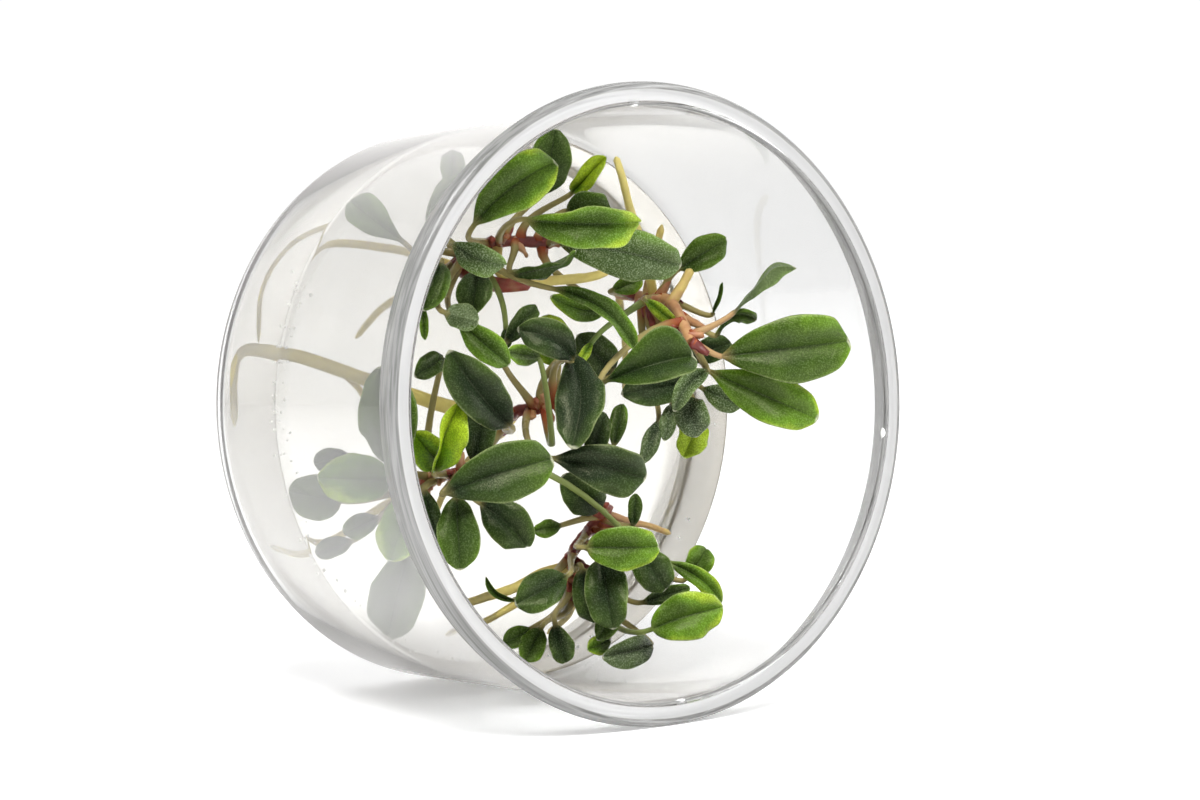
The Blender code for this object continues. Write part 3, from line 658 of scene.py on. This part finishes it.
def leaf_piece(name, leaves, rhizome, material):
    """One object of one or more leaves, with their places, tones and stalks stored on its points."""
    points, faces, place, tint = [], [], [], []
    for leaf in leaves:
        grown, skin, where = grow_leaf(leaf, rhizome)
        start = sum(len(part) for part in points)
        faces += [tuple(start + corner for corner in face) for face in skin]
        points.append(grown)
        place.append(where)
        tint.append(np.tile((leaf.tone, leaf.stalk, leaf.painted_sheen), (len(grown), 1)))
    made = mesh_of(name, placed(np.vstack(points)), faces)
    for title, values in (("leaf_place", np.vstack(place)), ("leaf_tint", np.vstack(tint))):
        made.data.attributes.new(title, "FLOAT_VECTOR", "POINT").data.foreach_set("vector", values.ravel())
    made.data.materials.append(material)
    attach(made, "root")
    return made


def leaf_finish(name, deep, bright):
    """Leaf skin of one plant: deep green to lime by tone, with midrib, pale rim and a painted grey sheen."""
    skin = Surface(name, IOR=1.40, Specular_IOR_Level=0.22, Specular_Tint=(1.0, 1.0, 0.65, 1.0))
    parts = skin.node("ShaderNodeSeparateXYZ", {}, {
        0: skin.node("ShaderNodeAttribute", {"attribute_name": "leaf_place"}, out="Vector")}).socket.node
    across, along, facing = [Tap(skin, socket) for socket in parts.outputs]
    parts = skin.node("ShaderNodeSeparateXYZ", {}, {
        0: skin.node("ShaderNodeAttribute", {"attribute_name": "leaf_tint"}, out="Vector")}).socket.node
    tone, stalk_hue, painted_sheen = [Tap(skin, socket) for socket in parts.outputs]

    mottle = skin.noise(skin.place, 260.0, detail=3.0)
    broad = skin.noise(skin.place, 90.0, detail=1.0)
    spread = abs(across)
    # Lighter towards the margins, which is painted light: the glow of light shining through the thin edges.
    # Also lighter towards the tip.
    shade = tone + spread ** 2 * 0.36 + along * 0.32 - 0.28
    shade = (shade + (broad - 0.5) * 0.7 + (mottle - 0.5) * 0.45).most(0.0).least(1.0)
    dusky = tuple((first + second) / 2 for first, second in zip(deep, bright))
    green = skin.node("ShaderNodeValToRGB", {"stops": (
        (0.0, deep), (1.0, (0.32, 0.45, 0.02)), (0.30, dusky), (0.55, bright),
        (0.80, (0.105, 0.215, 0.006)))}, {"Fac": shade})

    midrib = (spread + along * 0.06).step(0.13, 0.02) * along.step(0.0, 0.1)
    rim = spread.step(0.90, 1.0)
    upper = skin.blend(midrib * 0.55, green, tuple(0.45 * part for part in deep))
    below = skin.blend(0.40, green, (0.22, 0.29, 0.13))
    blade = skin.blend(facing.step(0.02, -0.02), upper, below)
    blade = skin.blend(rim * 0.4, blade, (0.36, 0.42, 0.18))
    grain = skin.noise(skin.place, 4200.0, detail=2.0)
    blade = skin.blend(grain.step(0.62, 0.40) * 0.4, blade, (0.005, 0.010, 0.002))
    # Painted sheen: a grainy grey-green highlight painted into the colour, stronger towards the tip, for the
    # gloss of the softbox.
    painted_sheen_share = painted_sheen ** 2 * (grain.step(0.45, 0.75) * 0.42 + along * 0.14)
    blade = skin.blend(painted_sheen_share, blade, (0.32, 0.38, 0.24))

    blade = skin.blend(along.step(0.965, 0.985) * 0.6, blade, (0.55, 0.55, 0.40))

    stalk = skin.blend(stalk_hue, (0.15, 0.21, 0.055), (0.34, 0.20, 0.10))
    foot = skin.blend((along + 1.0).step(0.22, 0.0), stalk, (0.26, 0.055, 0.025))
    skin.feed(Base_Color=skin.blend(along.step(-0.12, 0.12), foot, blade))
    skin.feed(Roughness=mottle * 0.18 + 0.15)
    skin.bump(mottle * 0.35 + grain, 0.00013, 0.7)
    return skin.material


def growth_recipe(material):
    """Live round growth along paths: each point has its own radius, and the skin is a little uneven."""
    recipe = Recipe("growth")
    sides = recipe.size("sides", 12, "NodeSocketInt")
    uneven = recipe.size("uneven", 0.0003)
    curve = recipe.node("GeometryNodeMeshToCurve", {}, {"Mesh": recipe.start})
    circle = recipe.node("GeometryNodeCurvePrimitiveCircle", {}, {"Resolution": sides, "Radius": 1.0})
    radius = recipe.node("GeometryNodeInputNamedAttribute", {"data_type": "FLOAT"}, {"Name": "thickness"})
    skin = recipe.node("GeometryNodeCurveToMesh", {}, {
        "Curve": curve, "Profile Curve": circle, "Scale": radius, "Fill Caps": True})
    closed = recipe.node("GeometryNodeMergeByDistance", {}, {"Geometry": skin, "Distance": 1e-6})
    lumps = recipe.node("ShaderNodeTexNoise", {}, {"Scale": 700.0, "Detail": 2.0})
    normal = recipe.node("GeometryNodeInputNormal")
    shift = recipe.node("ShaderNodeVectorMath", {"operation": "SCALE"}, {
        0: normal, "Scale": (lumps - 0.5) * uneven})
    closed = recipe.node("GeometryNodeSetPosition", {}, {"Geometry": closed, "Offset": shift})
    smooth = recipe.node("GeometryNodeSetShadeSmooth", {}, {"Geometry": closed})
    recipe.end(smooth, material)
    return recipe


def rhizome_finish():
    """Rhizome and root skin: red-brown and scaly on the rhizome, tan to pale yellow along the roots."""
    bark = Surface("rhizome_and_roots", Roughness=0.5)
    hue = bark.node("ShaderNodeAttribute", {"attribute_name": "hue"}, out="Fac")
    fine = bark.noise(bark.place, 800.0, detail=4.0)
    patches = bark.noise(bark.place, 180.0, detail=2.0)
    colour = bark.node("ShaderNodeValToRGB", {"stops": (
        (0.0, (0.10, 0.012, 0.008)), (1.0, (0.74, 0.63, 0.20)), (0.25, (0.22, 0.035, 0.018)),
        (0.55, (0.40, 0.22, 0.09)), (0.80, (0.60, 0.49, 0.13)))},
        {"Fac": hue + (fine - 0.5) * 0.3 + (patches - 0.5) * 0.7 * hue.step(1.0, 0.0)})
    bark.feed(Base_Color=colour, Roughness=fine * 0.3 + 0.35)
    bark.bump(fine, 0.0002, 0.6)
    return bark.material


bark = rhizome_finish()


def sheath_recipe(material):
    """A thin, uneven collar of dry skin round the foot of each stalk, at points with an aim."""
    recipe = Recipe("sheaths")
    length = recipe.size("length", 0.004)
    seed = recipe.size("seed", 1, "NodeSocketInt")
    points = recipe.node("GeometryNodeMeshToPoints", {}, {"Mesh": recipe.start})
    aim = recipe.node("GeometryNodeInputNamedAttribute", {"data_type": "FLOAT_VECTOR"}, {"Name": "aim"})
    turn = recipe.node("FunctionNodeAlignRotationToVector", {"axis": "Z"}, {"Vector": aim})
    collar = recipe.node("GeometryNodeMeshCone", {"fill_type": "NGON"}, {
        "Vertices": 10, "Side Segments": 5, "Radius Top": 0.0004, "Radius Bottom": 0.0010,
        "Depth": length})
    uneven = recipe.node("ShaderNodeTexNoise", {}, {"Scale": 900.0}, out="Color")
    shift = recipe.node("ShaderNodeVectorMath", {"operation": "SUBTRACT"}, {0: uneven, 1: (0.5, 0.5, 0.5)})
    shift = recipe.node("ShaderNodeVectorMath", {"operation": "SCALE"}, {0: shift, "Scale": 0.0012})
    share = recipe.node("FunctionNodeRandomValue", {"data_type": "FLOAT_VECTOR"}, {
        "Min": (0.7, 0.7, 0.5), "Max": (1.1, 1.1, 1.2), "Seed": seed})
    collars = recipe.node("GeometryNodeInstanceOnPoints", {}, {
        "Points": points, "Instance": collar, "Rotation": turn, "Scale": share})
    real = recipe.node("GeometryNodeRealizeInstances", {}, {"Geometry": collars})
    moved = recipe.node("GeometryNodeSetPosition", {}, {"Geometry": real, "Offset": shift})
    recipe.end(recipe.node("GeometryNodeSetShadeSmooth", {}, {"Geometry": moved}), material)
    return recipe


def grow_plant(name, rhizome, roots, leaves, deep, bright, bark_hue):
    """One plant: the rhizome with its roots, its young leaves, and a piece for each grown leaf."""
    path = smooth_path(rhizome, 8)
    knobs = 1 + 0.16 * np.abs(np.sin(np.linspace(0, 9.5 * math.pi, len(path))))
    ends = np.linspace(1, 0, len(path))
    rows = [(path, RHIZOME_RADIUS * (0.80 + 0.12 * ends) * knobs, np.full(len(path), bark_hue))]
    for radius, hue, points in roots:
        path_of_root = smooth_path(points, 7)
        share = np.linspace(0, 1, len(path_of_root))
        thickness = ROOT_SWELL * radius * (1 + (ROOT_TAPER - 1) * share)
        thickness = thickness * np.where(share > 0.985, 0.3, 1.0)
        rows.append((path_of_root, thickness, hue + 0.15 * share))
    starts = np.cumsum([0] + [len(row[0]) for row in rows])
    edges = [(start + step, start + step + 1) for start, row in zip(starts, rows)
             for step in range(len(row[0]) - 1)]
    mesh = bpy.data.meshes.new(f"{name}_growth")
    mesh.from_pydata(placed(np.vstack([row[0] for row in rows])).tolist(), edges, [])
    for title, values in (("thickness", np.concatenate([row[1] for row in rows]) / 1000),
                          ("hue", np.concatenate([row[2] for row in rows]))):
        mesh.attributes.new(title, "FLOAT", "POINT").data.foreach_set("value", values)
    made = bpy.data.objects.new(f"{name}_growth", mesh)
    bpy.context.collection.objects.link(made)
    growth_recipe(bark).run(made, sides=12, uneven=0.0003)
    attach(made, "root")
    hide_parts(f"{name}_rhizome")

    feet, aims = [], []
    for leaf in leaves:
        foot, axis = point_along(path, leaf.at)
        outward = np.array(leaf.via or leaf.neck, dtype=float) - foot
        outward = unit(outward - (outward @ axis) * axis * (leaf.at < 1.0))
        feet.append(foot)
        aims.append(unit(outward + 0.4 * axis))
    aims = placed(aims) - placed([(0, 0, 0)])
    mesh = bpy.data.meshes.new(f"{name}_sheaths")
    mesh.from_pydata(placed(feet).tolist(), [], [])
    mesh.attributes.new("aim", "FLOAT_VECTOR", "POINT").data.foreach_set("vector", aims.ravel())
    mesh.attributes.new("hue", "FLOAT", "POINT").data.foreach_set(
        "value", [0.10 + 0.13 * (number % 4) for number in range(len(feet))])
    sheaths = bpy.data.objects.new(f"{name}_sheaths", mesh)
    bpy.context.collection.objects.link(sheaths)
    sheath_recipe(bark).run(sheaths, length=0.0042, seed=len(leaves))
    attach(sheaths, "root")

    skin = leaf_finish(f"{name}_leaf_skin", deep, bright)
    young = leaf_piece(f"{name}_young_leaves", [leaf for leaf in leaves if leaf.young], path, skin)
    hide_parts(f"{name}_rhizome")
    for leaf in leaves:
        if not leaf.young:
            grown = leaf_piece(f"{name}_leaf_{leaf.number}_grown", [leaf], path, skin)
            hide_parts(f"{name}_leaf_{leaf.number}")


grow_plant(
    "top",
    rhizome=((-11, 22.5, 21.3), (-11.5, 25, 26), (-8, 26.5, 31), (-1, 26, 34)),
    roots=(
        (0.6, 0.72, ((-8.5, 26, 30), (-9, 22, 31), (-5, 20, 32), (2, 20, 33.5), (8, 20.5, 34.5),
         (12.5, 22.5, 35))),
        (0.45, 0.75, ((-11, 22.5, 22), (-15, 20, 17), (-20, 17, 12), (-24, 12, 8))),
        (0.45, 0.75, ((-11, 23, 22), (-20, 26, 17), (-32, 27, 11), (-39, 21, 9.5), (-42.5, 12, 13))),
        (0.9, 0.1, ((-11, 23, 23), (-11, 20.5, 28.5), (-8.5, 19.5, 31.5), (-4.5, 19.5, 33.5))),
    ),
    leaves=(
        Leaf(1, 0.56, (-23.5, 29, 46), (-12, 38, 52), 8.5, tone=0.6, arch=1.5, fold=10, widest=0.6,
             sweep=-1.0),
        Leaf(2, 0.7, (-3.5, 34, 36), (-3, 44, 40), 7, tone=0.35, roll=15, widest=0.5),
        Leaf(3, 0.65, (-13.5, 29.5, 46), (4, 28.5, 52), 8.5, tone=0.68, roll=30, fold=28,
             painted_sheen=0.6),
        Leaf(4, 1.0, (-2.5, 26, 39), (16.5, 21.5, 46), 8.5, tone=0.42, roll=10, arch=2, sweep=-0.6,
             painted_sheen=1),
        Leaf(5, 0.92, (1.5, 31, 36), (7.5, 30.5, 40), 7, tone=0.5, widest=0.5),
        Leaf(6, 0.8, (3.5, 34, 35), (7.5, 39.5, 39), 4.5, tone=1.15, arch=0.5, fold=35, widest=0.45,
             young=True, painted_sheen=0.1),
        Leaf(7, 0.42, (-27.5, 26, 46), (-21, 22.5, 50), 5, tone=0.5, roll=20, arch=2, fold=12,
             painted_sheen=1),
        Leaf(8, 0.76, (-10.5, 21.5, 37), (-1.5, 24.5, 42), 5.5, tone=0.3, roll=65),
        Leaf(9, 0.33, (-26.5, 29, 38), (-22, 36.5, 40), 4, tone=0.3, young=True),
        Leaf(10, 0.22, (-27, 23, 41), (-32, 16, 43), 5.5, tone=0.4, widest=0.5),
        Leaf(11, 0.51, (-18.5, 21.5, 39), (-21, 15, 41), 6, tone=0.2, roll=10, fold=12),
        Leaf(12, 0.02, (-25.5, 27, 29), (-30, 33.5, 21.5), 6, tone=0.4, arch=1.5, widest=0.66, painted_sheen=1),
        Leaf(13, 0.27, (-18.5, 32.5, 32), (-16, 41, 30), 4.5, tone=0.3, roll=20, young=True),
        Leaf(14, 0.44, (-4.5, 18.5, 40), (6.5, 8, 46), 4, tone=0.5, roll=-15, fold=25, sweep=-2,
             via=(-13.5, 21, 37)),
        Leaf(15, 0.95, (9.5, 15, 34), (-0.5, 17.5, 33), 4, tone=0.65, widest=0.5, sweep=-1),
        Leaf(16, 0.34, (-28.5, 15.5, 44.5), (-24, 14, 46.5), 4.5, tone=0.4, roll=180, young=True,
             painted_sheen=1),
        Leaf(17, 0.27, (-25, 14, 43), (-19, 7, 47), 5, tone=0.6, fold=10),
        Leaf(19, 0.37, (-13, 12.5, 38), (-13, 9.5, 38), 2, tone=0.25, arch=0.2, young=True,
             via=(-9, 19.5, 32), stalk=0.1),
        Leaf(18, 0.1, (-30.5, 16.5, 41), (-31, 11.5, 42), 1.5, tone=0.65, arch=0.5, young=True),
    ),
    deep=(0.007, 0.018, 0.004),
    bright=(0.042, 0.086, 0.003),
    bark_hue=0.1,
)


# The right plant: its rhizome stands up from the gel and ends in the spray of large leaves on the right.
# It is live growth as the top one is, with tan sheaths and short pale roots.

grow_plant(
    "right",
    rhizome=((22, 17.5, 21.3), (22, 16.5, 29), (21, 15.5, 37), (18.5, 9, 45)),
    roots=(
        (0.5, 0.8, ((22, 17, 31), (18.5, 24, 34), (14.5, 30, 36), (12.5, 36, 36.5), (11, 39.5, 37))),
        (0.5, 0.6, ((22, 16.5, 29), (23, 22, 30), (24.5, 28.5, 31))),
        (0.6, 0.6, ((21, 15.5, 37), (22.5, 18, 38), (24, 21, 39))),
        (0.45, 0.75, ((22, 17.5, 22), (25, 14, 17), (28, 8, 12), (30, 0, 7))),
    ),
    leaves=(
        Leaf(1, 1.0, (22.5, 6.5, 48), (41, 8, 58), 11.5, tone=0.5, arch=1.5, widest=0.6, stalk=0.9),
        Leaf(2, 0.9, (23, 4, 44), (37, -4.5, 54), 8.5, tone=0.65, widest=0.62, stalk=0.7),
        Leaf(3, 0.95, (26, 13.5, 47), (33, 22.5, 52), 4.6, tone=0.45, roll=165, arch=0.5, fold=42,
             widest=0.76, stalk=0.9, hook=(2.4, -2.2, 0)),
        Leaf(4, 0.8, (25.5, 10, 43), (31.5, 12, 46), 3, tone=0.5, roll=30, arch=0.5, widest=0.75,
             sweep=-2.5, young=True),
        Leaf(5, 0.6, (26.5, 13.5, 41), (28, 18.5, 42), 2, tone=0.55, arch=0.3, fold=60, young=True),
        Leaf(6, 0.56, (24.5, 6.5, 37), (30, 8.5, 41), 4.5, tone=0.2, widest=0.5),
        Leaf(7, 0.5, (23, 21, 37), (30, 25.5, 41), 5.5, tone=0.55, fold=6),
        Leaf(8, 0.55, (16, 16, 37), (19.5, 12, 40), 2.5, tone=0.9, arch=0.5, young=True),
        Leaf(9, 0.2, (14.5, 18, 30), (19, 19.5, 32), 3.5, tone=0.6, arch=0.5, young=True),
        Leaf(10, 0.85, (0, 3.5, 46), (11, 7, 55), 11, tone=0.25, roll=-14, arch=2, fold=28,
             widest=0.72, painted_sheen=0.4),
        Leaf(11, 0.66, (23, 2.5, 38.5), (11, 1, 35.5), 6, tone=0.15, fold=10),
        Leaf(12, 0.97, (21.5, 4, 45), (13.5, -2, 46), 4, tone=0.3, fold=30, sweep=1, painted_sheen=1),
        Leaf(13, 0.84, (20.5, -0.5, 41), (19.5, -6.5, 44), 6, tone=0.2, arch=1.5, fold=10, painted_sheen=1),
        Leaf(18, 0.38, (3.5, 9.5, 38), (0.5, 6, 38), 1.8, tone=0.8, arch=0.2, young=True,
             via=(12, 14.5, 38), stalk=0.0),
        Leaf(14, 0.4, (25.5, -4.5, 37), (20.5, -10, 39), 5.5, tone=1.2, arch=0.5, widest=0.45),
        Leaf(15, 0.46, (27, 1, 37), (31.5, -2, 41), 4.5, tone=0.3, widest=0.6, painted_sheen=1),
        Leaf(16, 0.35, (21, -1.5, 36), (17.5, -7, 38), 3, tone=0.3, young=True, painted_sheen=1),
        Leaf(17, 0.3, (18, -4, 36), (13.5, -10.5, 37), 3, tone=0.25, young=True, painted_sheen=1),
    ),
    deep=(0.007, 0.018, 0.004),
    bright=(0.045, 0.090, 0.003),
    bark_hue=0.52,
)


# The middle plant: the darkest one, blue-green, with a grey sheen painted on its leaves as a highlight.
# Its long tan root runs through the gel to the wall on the left and down along it.

grow_plant(
    "middle",
    rhizome=((-3.5, -4.5, 21.3), (-3, -1, 26), (-0.5, -0.5, 30), (1, 1.5, 34)),
    roots=(
        (0.8, 0.8, ((-3, -2, 24), (-10, -1, 25.5), (-17, 1, 24), (-28, 6, 17), (-38, 10, 11),
         (-43, 9.5, 7), (-43.5, -1, 6.5))),
        (0.4, 0.7, ((-31, 7.5, 15), (-28, 5.5, 14), (-25, 3, 12), (-21, -3, 8))),
        (0.45, 0.75, ((-3.5, -4.5, 22), (-6, -8, 16), (-10, -14, 11), (-12, -22, 7))),
    ),
    leaves=(
        Leaf(1, 0.82, (-7, 7.5, 47), (-16.5, 12.5, 46), 6, tone=0.1, arch=2.5, widest=0.6, sweep=1.3,
             via=(-5.5, 11, 39), painted_sheen=0.4),
        Leaf(2, 0.94, (-0.5, 6.5, 34.5), (-2.5, 14.5, 34.5), 7, tone=0.85, widest=0.5),
        Leaf(3, 0.55, (-14.5, 10.5, 40), (-9, 16, 41), 3.5, tone=0.3, fold=15, young=True),
        Leaf(4, 0.66, (-2.5, 8, 40.5), (-10, -6.5, 50), 8, tone=0.1, arch=1.5, widest=0.6, sweep=-1.6,
             painted_sheen=0.45),
        Leaf(5, 1.0, (10.5, 5, 34), (4.5, 11, 33), 6.5, tone=0.25, widest=0.5),
        Leaf(6, 0.9, (8, -7, 37), (10, -0.5, 37), 3, tone=0.45, young=True),
        Leaf(7, 0.84, (1, -9, 40), (3.5, -1.5, 41), 4, tone=0.15, widest=0.5),
        Leaf(8, 0.5, (-9.5, -8, 44), (3.5, -12, 51), 8.5, tone=0.1, fold=10, widest=0.66, sweep=-0.5,
             painted_sheen=0.45),
        Leaf(9, 0.3, (-19.5, -2, 47), (-31.5, 10, 49), 8, tone=0.15, arch=2, fold=15, sweep=-0.5,
             painted_sheen=0.4),
        Leaf(10, 0.15, (-19.5, -8, 37), (-17, 2, 38), 5.5, tone=0.15, fold=12),
        Leaf(11, 0.68, (-10, 8, 42), (-17.5, 9, 44), 3.5, tone=0.6, arch=0.5, young=True,
             via=(-4.5, -17, 38.5), stalk=0.1),
    ),
    deep=(0.006, 0.014, 0.005),
    bright=(0.036, 0.070, 0.004),
    bark_hue=0.12,
)


# The left plant: a short rhizome close to the wall, with two lime leaves among dark ones. Several of its
# leaves lie against the wall and show through it.

grow_plant(
    "left",
    rhizome=((-22.5, -13, 21.3), (-24.5, -11, 29), (-24, -10, 34), (-22, -9.5, 37)),
    roots=(
        (0.45, 0.75, ((-22.5, -13, 22), (-26, -16, 16), (-32, -20, 11), (-38, -20, 7))),
    ),
    leaves=(
        Leaf(1, 1.0, (-30.5, -12, 45), (-16.5, -7.5, 54), 9.5, tone=0.2, arch=1.5, widest=0.6,
             sweep=-0.5, painted_sheen=0.45),
        Leaf(2, 0.8, (-30.5, -8.5, 42), (-28.5, 2, 47), 8, tone=0.85, roll=30, fold=45, sweep=-1,
             painted_sheen=0.1),
        Leaf(3, 0.66, (-26.5, -8, 38), (-32, -2.5, 39), 6, tone=0.8, widest=0.5, painted_sheen=0.1),
        Leaf(4, 0.56, (-33.5, -7.5, 36), (-37.5, 8, 40), 9, tone=0.35, arch=1.5),
        Leaf(5, 0.5, (-25.5, 8.5, 38), (-32, 6, 40), 4, tone=0.35, young=True),
        Leaf(6, 0.9, (-26.5, -13, 42), (-28.5, -24, 45), 7, tone=0.45, fold=10),
        Leaf(7, 0.95, (-20.5, -14.5, 40), (-15, -21.5, 44), 7, tone=0.15, arch=1.5, fold=10,
             sweep=-0.6),
        Leaf(8, 0.7, (-29, -12, 37), (-27.5, -20.5, 38), 3.5, tone=0.25, young=True),
        Leaf(9, 0.3, (-31, -10, 31), (-42, -9, 27), 8, tone=0.7, widest=0.5),
        Leaf(10, 0.12, (-37, -13, 26), (-43.5, -11, 21), 7.5, tone=0.2, arch=0.5, widest=0.45, painted_sheen=1),
        Leaf(11, 0.6, (-29.5, -13, 34), (-33, -22.5, 33), 7.5, tone=0.7, widest=0.5),
        Leaf(12, 0.45, (-29.5, -21, 33), (-28, -35, 23.5), 9, tone=0.3, widest=0.5),
        Leaf(13, 0.2, (-32.5, -16, 29), (-37, -18, 26), 4, tone=0.3, arch=0.5, young=True),
        Leaf(15, 0.2, (-36, -6, 27), (-40.5, -7, 24), 4, tone=0.15, arch=0.5, young=True),
        Leaf(16, 0.08, (-35, -19.5, 25), (-39.5, -21, 21.5), 3.5, tone=0.2, arch=0.3, young=True),
        Leaf(14, 0.98, (8.5, -23.5, 41), (12, -30.5, 44), 6.5, tone=0.25, via=(-17, -3.5, 48.5),
             stalk=0.1),
    ),
    deep=(0.007, 0.017, 0.005),
    bright=(0.044, 0.088, 0.003),
    bark_hue=0.25,
)


# The bottom plant: a red-brown rhizome at the bottom of the cup, with a crown of grass-green leaves in front
# and small curled ones below.

grow_plant(
    "bottom",
    rhizome=((10.5, -33.5, 21.3), (5.5, -26, 27), (6.5, -21, 31), (7.5, -17.5, 35)),
    roots=(
        (0.6, 0.75, ((6, -27, 26), (1, -27.8, 25), (-3, -30, 22.5), (-7, -31.5, 18), (-12, -33, 14))),
        (0.45, 0.75, ((7, -29, 25), (1, -31, 23), (-6, -35, 19), (-12, -37, 14))),
        (0.4, 0.5, ((7.5, -18, 34), (13, -20, 34), (17, -21, 34), (21, -22.5, 34))),
        (0.4, 0.75, ((10, -33, 22), (11, -36, 17), (9, -39, 12))),
    ),
    leaves=(
        Leaf(1, 0.68, (-3.5, -22.5, 44), (7, -23, 49), 7.5, tone=0.7, widest=0.5),
        Leaf(2, 0.82, (19.5, -29.5, 40), (23, -25, 41), 5, tone=0.6, fold=12, widest=0.6),
        Leaf(3, 0.75, (14, -26.5, 43), (21.5, -33.5, 46), 3.5, tone=0.65, fold=15, sweep=-1.0,
             stalk=0.1),
        Leaf(4, 0.05, (8, -36.5, 45), (18, -33.5, 51), 8, tone=0.75, widest=0.5, sweep=-0.4, stalk=0.1),
        Leaf(5, 0.44, (-6.5, -27, 42), (-16.5, -30.5, 42), 6.5, tone=0.25, widest=0.6),
        Leaf(6, 0.38, (-14.5, -30, 39), (-19, -26, 38), 2, tone=0.4, arch=0.5, fold=50, sweep=-1,
             young=True),
        Leaf(7, 0.32, (0.5, -26.5, 37), (3, -35.5, 36.5), 5.5, tone=0.3, widest=0.5),
        Leaf(8, 0.56, (1.5, -25, 41), (1, -36, 44), 7.5, tone=0.1, fold=10, widest=0.5),
        Leaf(9, 0.35, (6.5, -32.5, 38.5), (1, -38, 39.5), 4, tone=0.2, young=True),
        Leaf(10, 0.12, (12.5, -40, 38.5), (1, -40.5, 40.5), 5.5, tone=0.15, arch=1, fold=15, painted_sheen=1),
        Leaf(11, 0.2, (5, -38.5, 37), (0, -39.5, 38), 3.5, tone=0.65, arch=0.5, young=True),
        Leaf(12, 0.15, (-9, -35.5, 35), (-13.5, -37.5, 34), 3.5, tone=0.5, arch=0.5, young=True),
        Leaf(13, 0.08, (-7.5, -35.5, 36), (-11, -40.5, 36), 4.5, tone=0.5, arch=0.5, young=True),
        Leaf(14, 0.18, (-6, -35, 38), (-5, -41, 39), 4.5, tone=0.2, arch=0.5, fold=20, young=True),
        Leaf(15, 0.28, (12.5, -33, 37), (20, -31, 40), 3, tone=0.35, arch=0.5, young=True),
        Leaf(16, 0.9, (10.5, -20, 38), (10.5, -15, 39), 2.5, tone=0.25, arch=0.5, young=True),
        Leaf(17, 0.9, (-1.5, -19.5, 34), (-6, -20, 33), 3, tone=0.55, arch=0.5, young=True),
        Leaf(18, 1.0, (3.5, -17, 38), (-4, -11, 39), 6.5, tone=0.2, widest=0.5),
    ),
    deep=(0.006, 0.016, 0.004),
    bright=(0.045, 0.090, 0.003),
    bark_hue=0.15,
)
